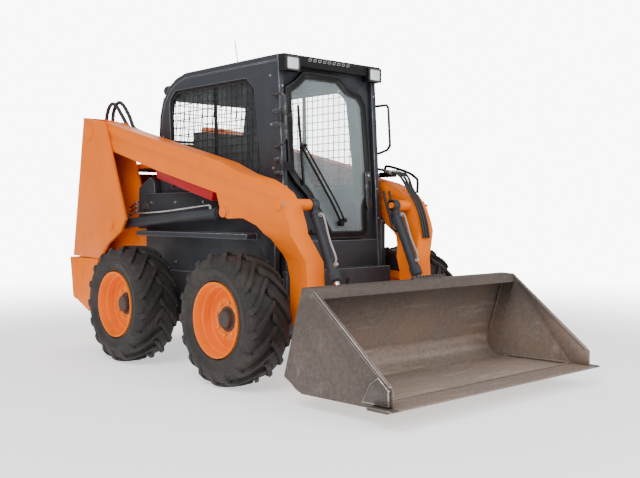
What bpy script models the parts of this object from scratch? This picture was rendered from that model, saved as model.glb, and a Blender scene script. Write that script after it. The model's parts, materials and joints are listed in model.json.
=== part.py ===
"""Skid steer loader: frame, cab, loader arms, cylinders, bucket and wheels as separate closed solids.

Machine axes: +X forward, +Y to the machine's left, +Z up, in metres. Shapes are drawn from the rear
axle (x = 0), the centre line (y = 0) and the ground (z = 0). The empty "machine" then carries them
back, so that the world origin lies on the ground under the middle of the whole machine.
"""

import math

import bmesh
import bpy
from mathutils import Matrix, Vector

# Clearances
GAP = 0.0003  # between pieces that touch
PLAY = 0.006  # between pieces that slide past each other

# Wheels
WHEELBASE = 1.22
TYRE_RADIUS = 0.411
TYRE_WIDTH = 0.31
TRACK = 1.55  # between the middles of the two tyres on one axle
RIM_RADIUS = 0.231
RIM_WIDTH = 0.29
HUB_RECESS = 0.114  # from the rim's outer lip to the hub cap
WHEEL_SIDES = 32

# Frame
FRAME_HALF_WIDTH = 0.50
FRAME_FRONT = 1.33
FRAME_REAR = -1.08
FRAME_BOTTOM = 0.27
FRAME_TOP = 0.64
SIDE_PANEL = 0.04
LEDGE_TOP = 0.921
LEDGE_HALF_WIDTH = 0.585
REAR_END = -1.175

# Towers that carry the arms
TOWER_OUTER = 0.67
TOWER_INNER = 0.46
TOWER_PLATE = 0.022
TOWER_TOP_REAR = (-0.917, 1.807)
TOWER_BOTTOM_REAR = (-1.115, 0.707)

# Cab
CAB_HALF_WIDTH = 0.435
CAB_WALL = 0.04
CAB_FRONT_FOOT = (1.306, 0.842)  # x and z of the front face at the door's foot
CAB_LEAN = 0.0593  # how far the front face falls back for each metre of height
CAB_BOTTOM = 0.66
CAB_REAR = -0.175
ROOF_TOP = 2.062
ROOF_PLATE = 0.04
REAR_PANEL_FOOT = 1.32
GLASS = 0.008
ANTENNA_TOP = 2.28

# Door
DOOR_THICKNESS = 0.03
DOOR_HINGE_Y = -0.45
DOOR_HINGE_PROUD = 0.012

# Arms, as x and z of the pins
ARM_PIVOT = (-0.829, 1.685)
LIFT_BASE_PIN = (-0.488, 0.969)
LIFT_ROD_PIN = (0.933, 1.062)
TILT_BASE_PIN = (1.485, 1.105)
TILT_ROD_PIN = (1.765, 0.50)
COUPLER_PIN = (1.67, 0.26)
ARM_OUTER = 0.64
ARM_INNER = 0.50
ARM_JOG = 0.085  # how far the arm steps in below the knee
JOG_TOP = 0.93
JOG_BOTTOM = 0.76
LIFT_CYLINDER_Y = 0.57
LIFT_BORE_RADIUS = 0.036
LIFT_ROD_RADIUS = 0.021
TILT_CYLINDER_Y = 0.365
TILT_BORE_RADIUS = 0.0325
TILT_ROD_RADIUS = 0.019
EYE_WIDTH = 0.05
PIN_RADIUS = 0.02

# Bucket
BUCKET_HALF_WIDTH = 0.891
EDGE_HALF_WIDTH = 0.941
EDGE_TIP = (2.70, 0.106)
BUCKET_SIDE = 0.014
BUCKET_SHEET = 0.012
EDGE_PLATE = 0.018

SIDES = (("right", -1), ("left", 1))
MIDDLE_X = (REAR_END + EDGE_TIP[0]) / 2


def front_x(z):
    """The cab's front face at height z."""
    return CAB_FRONT_FOOT[0] - (z - CAB_FRONT_FOOT[1]) * CAB_LEAN


# --- scene and finishes -------------------------------------------------------------------------


def clear_scene():
    for item in list(bpy.data.objects):
        bpy.data.objects.remove(item)


def make_finish(name, colour, roughness, metallic=0.0, alpha=1.0):
    finish = bpy.data.materials.new(name)
    finish.use_nodes = True
    shader = finish.node_tree.nodes["Principled BSDF"]
    shader.inputs["Base Color"].default_value = (*colour, 1)
    shader.inputs["Roughness"].default_value = roughness
    shader.inputs["Metallic"].default_value = metallic
    shader.inputs["Alpha"].default_value = alpha
    return finish


clear_scene()
ORANGE = make_finish("orange_paint", (0.90, 0.20, 0.01), 0.35)
SLATE = make_finish("slate_paint", (0.055, 0.06, 0.07), 0.45)
BLACK = make_finish("black_paint", (0.015, 0.016, 0.018), 0.5)
RED = make_finish("red_paint", (0.35, 0.015, 0.02), 0.4)
STEEL = make_finish("worn_steel", (0.10, 0.085, 0.08), 0.5, 0.7)
CHROME = make_finish("chromed_rod", (0.6, 0.6, 0.62), 0.15, 1.0)
RUBBER = make_finish("tyre_rubber", (0.02, 0.018, 0.016), 0.85)
GLAZING = make_finish("tinted_glass", (0.30, 0.36, 0.38), 0.05, 0.0, 0.35)
VINYL = make_finish("seat_vinyl", (0.03, 0.03, 0.032), 0.7)
HOSE = make_finish("hose_rubber", (0.012, 0.012, 0.013), 0.6)


# --- solids -------------------------------------------------------------------------------------


def to_object(shape, name="shape"):
    """A mesh object from a finished bmesh, with its faces pointing out."""
    bmesh.ops.recalc_face_normals(shape, faces=shape.faces)
    mesh = bpy.data.meshes.new(name)
    shape.to_mesh(mesh)
    shape.free()
    solid = bpy.data.objects.new(name, mesh)
    bpy.context.scene.collection.objects.link(solid)
    return solid


def loft(rings):
    """A closed solid through rings of the same number of points, capped at both ends."""
    shape = bmesh.new()
    rows = [[shape.verts.new(point) for point in ring] for ring in rings]
    for low, high in zip(rows, rows[1:]):
        for i, corner in enumerate(low):
            following = (i + 1) % len(low)
            shape.faces.new((corner, low[following], high[following], high[i]))
    shape.faces.new(rows[0])
    shape.faces.new(rows[-1])
    return to_object(shape)


def side_prism(outline, y0, y1):
    """A plate cut to an outline of (x, z) and lying between two values of y."""
    return loft([[(x, y, z) for x, z in outline] for y in (y0, y1)])


def front_prism(outline, back, front):
    """A plate cut to an outline of (y, z), between two surfaces that give x at a height z."""
    return loft([[(face(z), y, z) for y, z in outline] for face in (back, front)])


def block(low, high):
    (x0, y0, z0), (x1, y1, z1) = low, high
    return side_prism([(x0, z0), (x1, z0), (x1, z1), (x0, z1)], y0, y1)


def rod(start, end, radius, sides=16):
    """A round bar between two points."""
    start, end = Vector(start), Vector(end)
    along = (end - start).normalized()
    turn = along.to_track_quat("Z", "Y").to_matrix()
    ring = [
        turn @ Vector((math.cos(a), math.sin(a), 0)) * radius
        for a in (math.tau * (i + 0.5) / sides for i in range(sides))
    ]
    return loft([[start + point for point in ring], [end + point for point in ring]])


def pin(at, y0, y1, radius, sides=16):
    """A round bar across the machine, centred on (x, z)."""
    return rod((at[0], y0, at[1]), (at[0], y1, at[1]), radius, sides)


def tube_path(points, radius, sides=8):
    """A bent round bar through the points, mitred at each bend."""
    points = [Vector(point) for point in points]
    across = (points[1] - points[0]).orthogonal().normalized()
    rings = []
    for i, point in enumerate(points):
        before = (point - points[i - 1]).normalized() if i else None
        after = (points[i + 1] - point).normalized() if i + 1 < len(points) else None
        along = ((before or after) + (after or before)).normalized()
        across = (across - along * across.dot(along)).normalized()
        other = along.cross(across)
        stretch = 1 / max(0.5, along.dot(after or before))
        rings.append(
            [
                point + (across * math.cos(a) + other * math.sin(a)) * radius * stretch ** 0.5
                for a in (math.tau * k / sides for k in range(sides))
            ]
        )
    return loft(rings)


def turned(profile, centre, sides=WHEEL_SIDES):
    """A ring turned about a line across the machine, from a closed profile of (radius, y).

    The sides stand flat on the ground, with the flats at the profile's radius.
    """
    shape = bmesh.new()
    reach = 1 / math.cos(math.pi / sides)
    rows = []
    for i in range(sides):
        angle = math.tau * (i + 0.5) / sides
        rows.append(
            [
                shape.verts.new(
                    (
                        centre[0] + r * reach * math.sin(angle),
                        centre[1] + y,
                        centre[2] + r * reach * math.cos(angle),
                    )
                )
                for r, y in profile
            ]
        )
    for i, row in enumerate(rows):
        following = rows[(i + 1) % sides]
        for j, corner in enumerate(row):
            k = (j + 1) % len(row)
            shape.faces.new((corner, row[k], following[k], following[j]))
    return to_object(shape)


def combine(base, tools, operation):
    """Joins or cuts base with each tool in turn, and removes the tools."""
    for tool in tools:
        step = base.modifiers.new(operation.lower(), "BOOLEAN")
        step.object = tool
        step.operation = operation
    bpy.context.view_layer.update()
    seen = base.evaluated_get(bpy.context.evaluated_depsgraph_get())
    result = bpy.data.meshes.new_from_object(seen)
    base.modifiers.clear()
    base.data = result
    for tool in tools:
        bpy.data.objects.remove(tool)
    return base


def join(base, *others):
    return combine(base, others, "UNION")


def cut(base, *cutters):
    return combine(base, cutters, "DIFFERENCE")


# --- places in the machine ----------------------------------------------------------------------

MACHINE = bpy.data.objects.new("machine", None)
MACHINE.location = (-MIDDLE_X, 0, 0)
bpy.context.scene.collection.objects.link(MACHINE)
PLACES = {MACHINE: Vector((0, 0, 0))}


def pivot(name, at, on=MACHINE):
    """An empty on a joint's axis, which carries what turns about it."""
    place = bpy.data.objects.new(name, None)
    place.parent = on
    place.location = Vector(at) - PLACES[on]
    bpy.context.scene.collection.objects.link(place)
    PLACES[place] = Vector(at)
    return place


def settle(solid, name, finish, on=MACHINE):
    """Names a solid that is drawn in machine axes, and hangs it on its place."""
    solid.data.transform(Matrix.Translation(-PLACES[on]))
    solid.parent = on
    solid.name = solid.data.name = name
    solid.data.materials.clear()
    solid.data.materials.append(finish)
    solid.data.shade_smooth()
    solid.data.set_sharp_from_angle(angle=math.radians(35))
    return solid


def mirrored(side, low, high):
    """The y values low and high on one side of the machine."""
    return side * low, side * high


# --- wheels and axles ---------------------------------------------------------------------------

TYRE_CREST = 0.12  # half the width of the flat tread
AXLE_RADIUS = 0.038
HUB_RADIUS = 0.08
HUB_BORE = AXLE_RADIUS + PLAY
HUB_CAP_FACE = RIM_WIDTH / 2 - HUB_RECESS
HUB_CAP_DEPTH = 0.016
HUB_BACK = -0.03
DISC = (-0.012, 0.002)  # inner and outer faces of the wheel disc
WELL_RADIUS = 0.205
LIP_RADIUS = 0.214
DISC_RADIUS = 0.19
AXLE_FLANGE = 0.10


def tyre_profile(side):
    half = TYRE_WIDTH / 2
    bead = RIM_RADIUS + GAP
    outline = [(TYRE_RADIUS, TYRE_CREST), (TYRE_RADIUS - 0.02, half - 0.006)]
    outline += [(TYRE_RADIUS - 0.085, half), (bead, half - 0.02)]
    return [(r, side * y) for r, y in outline] + [(r, -side * y) for r, y in reversed(outline)]


def rim_profile(side):
    half = RIM_WIDTH / 2
    outline = [(RIM_RADIUS, -half), (RIM_RADIUS, half), (LIP_RADIUS, half), (WELL_RADIUS, 0.05)]
    outline += [(DISC_RADIUS, DISC[1]), (HUB_RADIUS, DISC[1]), (HUB_RADIUS, HUB_CAP_FACE - 0.006)]
    outline += [(HUB_BORE, HUB_CAP_FACE - 0.006), (HUB_BORE, HUB_BACK), (HUB_RADIUS, HUB_BACK)]
    outline += [(HUB_RADIUS, DISC[0]), (DISC_RADIUS, DISC[0]), (WELL_RADIUS, HUB_BACK)]
    outline += [(LIP_RADIUS, -half)]
    return [(r, side * y) for r, y in outline]


def make_wheel(name, x, side):
    centre = (x, side * TRACK / 2, TYRE_RADIUS)
    place = pivot("wheel_" + name, centre)
    settle(turned(tyre_profile(side), centre), "tyre_" + name, RUBBER, place)
    rim = turned(rim_profile(side), centre)
    cap_ends = (HUB_CAP_FACE - HUB_CAP_DEPTH, HUB_CAP_FACE)
    cap = pin((x, TYRE_RADIUS), *(centre[1] + side * y for y in cap_ends), 0.062, 20)
    settle(join(rim, cap), "rim_" + name, ORANGE, place)
    ends = mirrored(side, FRAME_HALF_WIDTH + GAP, TRACK / 2 - 0.002)
    shaft = pin((x, TYRE_RADIUS), *ends, AXLE_RADIUS)
    flange_ends = mirrored(side, FRAME_HALF_WIDTH + GAP, TRACK / 2 + HUB_BACK - 0.14)
    flange = pin((x, TYRE_RADIUS), *flange_ends, AXLE_FLANGE)
    settle(join(shaft, flange), "axle_" + name, BLACK)


for axle, axle_x in (("front", WHEELBASE), ("rear", 0.0)):
    for side_name, side in SIDES:
        make_wheel(f"{axle}_{side_name}", axle_x, side)


# --- frame --------------------------------------------------------------------------------------

FRONT_MEMBER_TOP = 0.69
BUMPER_TOP = 0.694
FRONT_MEMBER_BACK = CAB_FRONT_FOOT[0] + 0.018
BELLY_CHAMFER = 0.13
SIDE_PANEL_X = (-0.26, 1.28)
SIDE_PANEL_TOP = 1.20
LEDGE_X = (-0.26, 1.10)
LEDGE_DEPTH = 0.036
ENGINE = ((-0.92, -0.33, FRAME_TOP + GAP), (-0.25, 0.33, 1.22))


def make_main_frame():
    outline = [
        (FRAME_REAR, FRAME_TOP),
        (FRAME_REAR, FRAME_BOTTOM + 0.15),
        (FRAME_REAR + 0.22, FRAME_BOTTOM),
        (FRAME_FRONT - BELLY_CHAMFER, FRAME_BOTTOM),
        (FRAME_FRONT, FRAME_BOTTOM + 0.09),
        (FRAME_FRONT, FRAME_TOP),
    ]
    body = side_prism(outline, -FRAME_HALF_WIDTH, FRAME_HALF_WIDTH)
    member = block(
        (FRONT_MEMBER_BACK - 0.004, -0.47, FRAME_TOP - 0.12),
        (FRAME_FRONT + 0.03, 0.47, FRONT_MEMBER_TOP),
    )
    settle(join(body, member), "main_frame", ORANGE)


def make_side_panel(side_name, side):
    inner = FRAME_HALF_WIDTH - SIDE_PANEL
    y0, y1 = mirrored(side, inner, FRAME_HALF_WIDTH)
    rear, front = SIDE_PANEL_X
    low = FRAME_TOP + GAP
    outline = [(rear, low), (front, low), (front, SIDE_PANEL_TOP - 0.20)]
    outline += [(front - 0.20, SIDE_PANEL_TOP), (rear, SIDE_PANEL_TOP)]
    y2, y3 = mirrored(side, inner + 0.01, LEDGE_HALF_WIDTH)
    ledge = block((LEDGE_X[0], min(y2, y3), LEDGE_TOP - LEDGE_DEPTH), (LEDGE_X[1], max(y2, y3), LEDGE_TOP))
    settle(join(side_prism(outline, y0, y1), ledge), "side_panel_" + side_name, SLATE)


def tower_rear_x(z):
    """The rear edge of the towers at height z."""
    (x0, z0), (x1, z1) = TOWER_BOTTOM_REAR, TOWER_TOP_REAR
    return x0 + (x1 - x0) * (z - z0) / (z1 - z0)


def make_tower(side_name, side):
    upper = [TOWER_BOTTOM_REAR, TOWER_TOP_REAR, (-0.590, 1.752), (-0.274, 1.004)]
    arch = [(-0.341, 0.914), (-0.542, 0.819), (-0.683, 0.697)]
    low = FRAME_TOP + GAP
    outer = side_prism(upper + arch, *mirrored(side, TOWER_OUTER - TOWER_PLATE, TOWER_OUTER))
    foot = [(-0.274, low), (FRAME_REAR, low), (FRAME_REAR, BUMPER_TOP + PLAY)]
    inner = side_prism(upper + foot, *mirrored(side, TOWER_INNER, TOWER_INNER + TOWER_PLATE))
    web = [TOWER_BOTTOM_REAR, TOWER_TOP_REAR]
    web += [(x + TOWER_PLATE, z) for x, z in reversed(web)]
    web = side_prism(web, *mirrored(side, TOWER_INNER + 0.001, TOWER_OUTER - 0.001))
    pins = [
        pin(at, *mirrored(side, TOWER_INNER + 0.002, TOWER_OUTER - 0.002), PIN_RADIUS + 0.008)
        for at in (ARM_PIVOT, LIFT_BASE_PIN)
    ]
    boss = pin(ARM_PIVOT, *mirrored(side, TOWER_OUTER - 0.01, TOWER_OUTER + 0.014), 0.062, 20)
    small = pin(LIFT_BASE_PIN, *mirrored(side, TOWER_OUTER - 0.01, TOWER_OUTER + 0.01), 0.045)
    settle(join(outer, inner, web, *pins, boss, small), "tower_" + side_name, ORANGE)


BUMPER_BAR = [(REAR_END, BUMPER_TOP), (-1.128, 0.376), (FRAME_REAR - 0.005, 0.352)]
BUMPER_BAR += [(FRAME_REAR - 0.005, BUMPER_TOP)]
BUMPER_WING = [(-1.16, BUMPER_TOP - 0.001), (-1.12, 0.377), (-0.86, 0.27), (-0.70, BUMPER_TOP - 0.001)]


def make_rear_bumper():
    bar = side_prism(BUMPER_BAR, -TOWER_OUTER, TOWER_OUTER)
    wings = [
        side_prism(BUMPER_WING, *mirrored(side, FRAME_HALF_WIDTH + GAP, TOWER_OUTER - 0.0005))
        for _, side in SIDES
    ]
    settle(join(bar, *wings), "rear_bumper", ORANGE)


make_main_frame()
for side_name, side in SIDES:
    make_side_panel(side_name, side)
    make_tower(side_name, side)
make_rear_bumper()
settle(block(*ENGINE), "engine", BLACK)


# --- rear door and engine hood ------------------------------------------------------------------

PANEL = 0.04
REAR_DOOR_Z = (0.72, 1.38)
REAR_DOOR_HALF_WIDTH = TOWER_INNER - 0.012
REAR_DOOR_PROUD = 0.02
HOOD_Z = (1.395, 1.435)
HOOD_X = (-1.00, -0.20)
HOOD_HALF_WIDTH = TOWER_INNER - 0.032


def make_rear_door():
    low, high = REAR_DOOR_Z
    outer = [(tower_rear_x(z) - REAR_DOOR_PROUD, z) for z in (low, high)]
    inner = [(x + PANEL, z) for x, z in reversed(outer)]
    hinge = pivot("rear_door_hinge", (outer[0][0], REAR_DOOR_HALF_WIDTH, low))
    door = side_prism(outer + inner, -REAR_DOOR_HALF_WIDTH, REAR_DOOR_HALF_WIDTH)
    settle(door, "rear_door", SLATE, hinge)


def make_hood():
    hinge = pivot("hood_hinge", (HOOD_X[1], 0, HOOD_Z[1]))
    low = (HOOD_X[0], -HOOD_HALF_WIDTH, HOOD_Z[0])
    settle(block(low, (HOOD_X[1], HOOD_HALF_WIDTH, HOOD_Z[1])), "engine_hood", ORANGE, hinge)


make_rear_door()
make_hood()


# --- outlines -----------------------------------------------------------------------------------


def arc(centre, radius, first, last, steps):
    """Points round a centre from one angle to another, in degrees."""
    turns = (math.radians(first + (last - first) * i / steps) for i in range(steps + 1))
    return [(centre[0] + radius * math.cos(a), centre[1] + radius * math.sin(a)) for a in turns]


def offset(line, distance, closed=True):
    """The outline moved to its own left by a distance, with mitred corners."""
    moved = []
    count = len(line)
    for i, here in enumerate(line):
        here = Vector(here)
        before = here - Vector(line[i - 1]) if closed or i else None
        after = Vector(line[(i + 1) % count]) - here if closed or i + 1 < count else None
        before, after = (v.normalized() if v else None for v in (before, after))
        before, after = before or after, after or before
        left = Vector((-before.y - after.y, before.x + after.x)).normalized()
        reach = distance / max(0.4, left.dot(Vector((-before.y, before.x))))
        moved.append(tuple(here + left * reach))
    return moved


def inset(outline, distance):
    """A closed outline shrunk by a distance, whichever way round it runs."""
    pairs = zip(outline, outline[1:] + outline[:1])
    area = sum(a[0] * b[1] - b[0] * a[1] for a, b in pairs)
    return offset(outline, math.copysign(distance, area))


def hull(points):
    """The outline of a band stretched round the points."""
    points = sorted(set(points))
    sides = []
    for run in (points, points[::-1]):
        chain = []
        for p in run:
            while len(chain) > 1:
                (x0, z0), (x1, z1) = chain[-2:]
                if (x1 - x0) * (p[1] - z0) - (z1 - z0) * (p[0] - x0) > 1e-9:
                    break
                chain.pop()
            chain.append(p)
        sides += chain[:-1]
    return sides


def rounded(corner, start, end, radius, steps):
    """The arc that rounds a corner between the lines to start and to end."""
    corner, start, end = Vector(corner), Vector(start), Vector(end)
    one, two = (start - corner).normalized(), (end - corner).normalized()
    half = one.angle(two) / 2
    centre = corner + (one + two).normalized() * (radius / math.sin(half))
    first = corner + one * (radius / math.tan(half)) - centre
    last = corner + two * (radius / math.tan(half)) - centre
    turn = first.angle_signed(last)
    return [tuple(centre + Matrix.Rotation(-turn * i / steps, 2) @ first) for i in range(steps + 1)]


# --- cab ----------------------------------------------------------------------------------------

ROOF_LINE = [(front_x(ROOF_TOP), ROOF_TOP), (0.187, ROOF_TOP), (0.06, 2.035), (-0.035, 1.985)]
ROOF_LINE += [(-0.126, 1.883), (-0.165, 1.77), (CAB_REAR, 1.65), (CAB_REAR, REAR_PANEL_FOOT)]
SIDE_WINDOW = [(0.05, 1.945), (0.90, 1.94), (0.985, 1.865), (1.07, 1.24), (0.0, 1.24), (-0.03, 1.88)]
SCREEN_Y = (0.412, 0.424)
SCREEN_RIM = 0.022
SCREEN_BAR = 0.006
SCREEN_BARS = (5, 4)
REAR_WINDOW = (0.355, 1.58, 1.92)  # half width, bottom and top
REAR_GLASS_X = (-0.160, -0.100)  # the pane's outer face at its bottom and top
DOOR_RECESS = 0.035
JAMB = 0.04
DOOR_FOOT = 0.885
DOOR = [(-0.385, 1.855), (-0.31, 1.895), (-0.225, 1.968), (0.085, 1.968), (0.17, 1.895)]
DOOR += [(0.285, 1.868), (0.335, 1.79), (0.36, 1.18), (0.305, 1.10), (0.305, DOOR_FOOT + 0.04)]
DOOR += [(0.265, DOOR_FOOT), (-0.055, DOOR_FOOT), (-0.235, 1.165), (-0.33, 1.25), (-0.385, 1.32)]
DOOR_OVERLAP = 0.02
DOOR_FRAME = 0.042
DOOR_HINGES_Z = (1.35, 1.66)
HINGE_HALF = 0.03
HINGE_RADIUS = 0.012
HANDLE_Y = 0.466
HANDLE_Z = (1.47, 1.80)


def make_cab_roof():
    outline = ROOF_LINE + offset(ROOF_LINE, ROOF_PLATE, closed=False)[::-1]
    roof = side_prism(outline, -CAB_HALF_WIDTH, CAB_HALF_WIDTH)
    half, low, high = REAR_WINDOW
    opening = block((CAB_REAR - 0.1, -half, low), (CAB_REAR + 0.1, half, high))
    settle(cut(roof, opening), "cab_roof", SLATE)
    foot, head = REAR_GLASS_X
    low, high = low + GAP, high - GAP
    pane = [(foot, low), (head, high), (head + GLASS, high), (foot + GLASS, low)]
    settle(side_prism(pane, -half + GAP, half - GAP), "rear_window", GLAZING)


def hinge_axis_point(z):
    """The door's hinge axis at height z, as x and y."""
    return front_x(z) + DOOR_HINGE_PROUD, DOOR_HINGE_Y


def on_hinge(z0, z1, radius):
    ends = [(*hinge_axis_point(z), z) for z in (z0, z1)]
    return rod(*ends, radius, 12)


def hinge_brackets():
    """The fixed half of each door hinge: a foot on the cab's side and a knuckle over and under."""
    parts = []
    for z in DOOR_HINGES_Z:
        low, high = z - HINGE_HALF, z + HINGE_HALF
        for z0, z1 in ((low - 0.024, low - 0.002), (high + 0.002, high + 0.024)):
            x, y = hinge_axis_point(z)
            foot = block((x - 0.07, y - 0.006, z0 + 0.002), (x, -CAB_HALF_WIDTH + 0.004, z1 - 0.002))
            parts += [foot, on_hinge(z0, z1, HINGE_RADIUS)]
    return parts


def make_cab_side(side_name, side):
    inner = [(x, z) for x, z in offset(ROOF_LINE, ROOF_PLATE + GAP, closed=False)]
    inner[0] = (front_x(ROOF_TOP - ROOF_PLATE), inner[0][1])
    foot = REAR_PANEL_FOOT - GAP
    inner[-1] = (inner[-1][0], foot)
    outline = inner + [(CAB_REAR, foot), (CAB_REAR, CAB_BOTTOM), (front_x(CAB_BOTTOM), CAB_BOTTOM)]
    y0, y1 = mirrored(side, CAB_HALF_WIDTH - CAB_WALL, CAB_HALF_WIDTH)
    wall = side_prism(outline, y0, y1)
    opening = side_prism(SIDE_WINDOW, y0 - side * 0.05, y1 + side * 0.05)
    wall = cut(wall, opening)
    if side < 0:
        wall = join(wall, *hinge_brackets())
    settle(wall, "cab_side_" + side_name, SLATE)

    y2, y3 = mirrored(side, CAB_HALF_WIDTH - CAB_WALL + 0.0015, CAB_HALF_WIDTH - CAB_WALL + 0.0015 + GLASS)
    settle(side_prism(inset(SIDE_WINDOW, GAP), y2, y3), "side_window_" + side_name, GLAZING)


def make_side_screen(side_name, side):
    y0, y1 = mirrored(side, *SCREEN_Y)
    border = inset(SIDE_WINDOW, GAP)
    screen = side_prism(border, y0, y1)
    hole = side_prism(inset(border, SCREEN_RIM), y0 - side * 0.02, y1 + side * 0.02)
    screen = cut(screen, hole)
    xs, zs = [x for x, _ in border], [z for _, z in border]
    y2, y3 = mirrored(side, SCREEN_Y[0] + 0.002, SCREEN_Y[1] - 0.002)
    bars = []
    for i in range(1, SCREEN_BARS[0]):
        x = min(xs) + (max(xs) - min(xs)) * i / SCREEN_BARS[0] - 0.01
        bars.append(block((x, min(y2, y3), min(zs) + 0.01), (x + SCREEN_BAR, max(y2, y3), max(zs) - 0.02)))
    for i in range(1, SCREEN_BARS[1]):
        z = min(zs) + (max(zs) - min(zs)) * i / SCREEN_BARS[1]
        bars.append(block((0.0, min(y2, y3), z), (1.1, max(y2, y3), z + SCREEN_BAR)))
    bounds = side_prism(border, y0 - side * 0.02, y1 + side * 0.02)
    screen = combine(join(screen, *bars), [bounds], "INTERSECT")
    settle(screen, "side_screen_" + side_name, BLACK)


def make_cab_front():
    half = CAB_HALF_WIDTH - CAB_WALL - GAP
    low, high = FRONT_MEMBER_TOP + GAP, ROOF_TOP - ROOF_PLATE - GAP
    outline = [(-half, low), (half, low), (half, high), (-half, high)]

    def face(depth):
        return lambda z: front_x(z) - depth

    front = front_prism(outline, face(DOOR_RECESS + JAMB), face(DOOR_RECESS))
    opening = front_prism(inset(DOOR, DOOR_OVERLAP), face(DOOR_RECESS + 0.2), face(DOOR_RECESS - 0.2))
    foot = front_prism(
        [(-half, low), (half, low), (half, DOOR_FOOT - 0.012), (-half, DOOR_FOOT - 0.012)],
        face(DOOR_RECESS + 0.01),
        face(0.001),
    )
    settle(join(cut(front, opening), foot), "cab_front", SLATE)


def make_door():
    hinge = pivot("door_hinge", (*hinge_axis_point(DOOR_FOOT), DOOR_FOOT))
    leaf = front_prism(DOOR, lambda z: front_x(z) - DOOR_THICKNESS, front_x)
    hole_outline = inset(DOOR, DOOR_FRAME)
    hole = front_prism(hole_outline, lambda z: front_x(z) - 0.2, lambda z: front_x(z) + 0.2)
    leaf = cut(leaf, hole)
    straps = []
    for z in DOOR_HINGES_Z:
        low, high = z - HINGE_HALF, z + HINGE_HALF
        x, y = hinge_axis_point(z)
        foot, head = low + 0.004, high - 0.004
        inner_end = DOOR[0][0] + 0.035
        strap = block((x - 0.006, y, foot), (x + 0.006, inner_end, head))
        pad = block((x - 0.03, DOOR[0][0] + 0.006, foot), (x + 0.006, inner_end, head))
        straps += [strap, pad, on_hinge(low, high, HINGE_RADIUS)]
    settle(join(leaf, *straps), "door_frame", BLACK, hinge)
    pane = front_prism(
        inset(DOOR, DOOR_FRAME + GAP),
        lambda z: front_x(z) - 0.006 - GLASS,
        lambda z: front_x(z) - 0.006,
    )
    settle(pane, "door_glass", GLAZING, hinge)


SEAT_BOX = ((-0.134, -0.28, 0.679), (0.50, 0.28, 0.96))


def make_cab_floor():
    half = CAB_HALF_WIDTH - CAB_WALL - GAP
    front = front_x(CAB_BOTTOM) - DOOR_RECESS - JAMB - 0.003
    floor = block((CAB_REAR, -half, CAB_BOTTOM - 0.015), (front, half, CAB_BOTTOM + 0.02))
    back = block((CAB_REAR, -half, CAB_BOTTOM), (CAB_REAR + 0.04, half, REAR_PANEL_FOOT - GAP))
    settle(join(floor, back, block(*SEAT_BOX)), "cab_floor", SLATE)


def make_seat():
    top = SEAT_BOX[1][2] + GAP
    cushion = side_prism(
        [(0.0, top), (0.52, top), (0.545, top + 0.06), (0.52, top + 0.13), (0.0, top + 0.10)], -0.24, 0.24
    )
    back = side_prism(
        [(-0.02, top + 0.02), (0.10, top + 0.05), (0.045, top + 0.70), (-0.05, top + 0.70)], -0.22, 0.22
    )
    settle(join(cushion, back), "seat", VINYL)


def make_levers():
    low = CAB_BOTTOM + 0.02 + GAP
    bar = block((0.74, -0.34, low), (0.82, 0.34, low + 0.05))
    posts = []
    for _, side in SIDES:
        y = side * 0.30
        posts.append(tube_path([(0.78, y, low + 0.02), (0.76, y, 1.12), (0.70, y * 0.93, 1.32)], 0.016))
        posts.append(rod((0.705, y * 0.935, 1.30), (0.68, y * 0.90, 1.42), 0.024, 10))
    settle(join(bar, *posts), "control_levers", BLACK)


LAMP_Y = (0.305, 0.432)
LAMP_Z = (1.952, 2.046)
VISOR_Z = (1.99, 2.058)
VISOR_DEPTH = 0.065


def make_visor():
    def face(depth):
        return lambda z: front_x(ROOF_TOP) + 0.006 + depth

    half = LAMP_Y[1]
    bar = [(-half, VISOR_Z[0]), (half, VISOR_Z[0]), (half, VISOR_Z[1]), (-half, VISOR_Z[1])]
    visor = front_prism(bar, face(0), face(VISOR_DEPTH * 0.75))
    lamps = []
    for _, side in SIDES:
        y0, y1 = sorted(mirrored(side, *LAMP_Y))
        z0, z1 = LAMP_Z
        lamps.append(front_prism([(y0, z0), (y1, z0), (y1, z1), (y0, z1)], face(0.001), face(VISOR_DEPTH)))
    settle(join(visor, *lamps), "light_visor", BLACK)


def make_grab_handle(side_name, side):
    low, high = HANDLE_Z
    foot, y = side * (CAB_HALF_WIDTH + GAP), side * HANDLE_Y
    points = [
        (front_x(high) - 0.03, foot, high),
        (front_x(high) - 0.03, y - side * 0.006, high),
        (front_x(high) - 0.018, y, high),
        (front_x(high) + 0.07, y, high),
        (front_x(high) + 0.088, y, high - 0.02),
        (front_x(low) + 0.085, y, low + 0.05),
        (front_x(low) + 0.06, y, low + 0.02),
        (front_x(low) - 0.018, y, low),
        (front_x(low) - 0.03, y - side * 0.006, low),
        (front_x(low) - 0.03, foot, low),
    ]
    settle(tube_path(points, 0.010), "grab_handle_" + side_name, BLACK)


def make_rear_lamp(side_name, side):
    y0, y1 = sorted(mirrored(side, 0.29, 0.37))
    lamp = block((-0.21, y0, 1.93), (-0.14, y1, 2.02))
    bracket = block((-0.15, y0 + 0.02, 1.935), (-0.0845, y1 - 0.02, 1.965))
    settle(join(lamp, bracket), "rear_lamp_" + side_name, BLACK)


def make_antenna():
    base = rod((0.503, -0.2, ROOF_TOP + GAP), (0.503, -0.2, ROOF_TOP + 0.05), 0.014, 10)
    whip = rod((0.501, -0.2, ROOF_TOP + 0.04), (0.463, -0.2, ANTENNA_TOP), 0.0035, 6)
    settle(join(base, whip), "antenna", BLACK)


make_cab_roof()
make_cab_front()
make_door()
make_cab_floor()
make_seat()
make_levers()
make_visor()
make_antenna()
for side_name, side in SIDES:
    make_cab_side(side_name, side)
    make_side_screen(side_name, side)
    make_grab_handle(side_name, side)
    make_rear_lamp(side_name, side)


# --- loader arms --------------------------------------------------------------------------------

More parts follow.
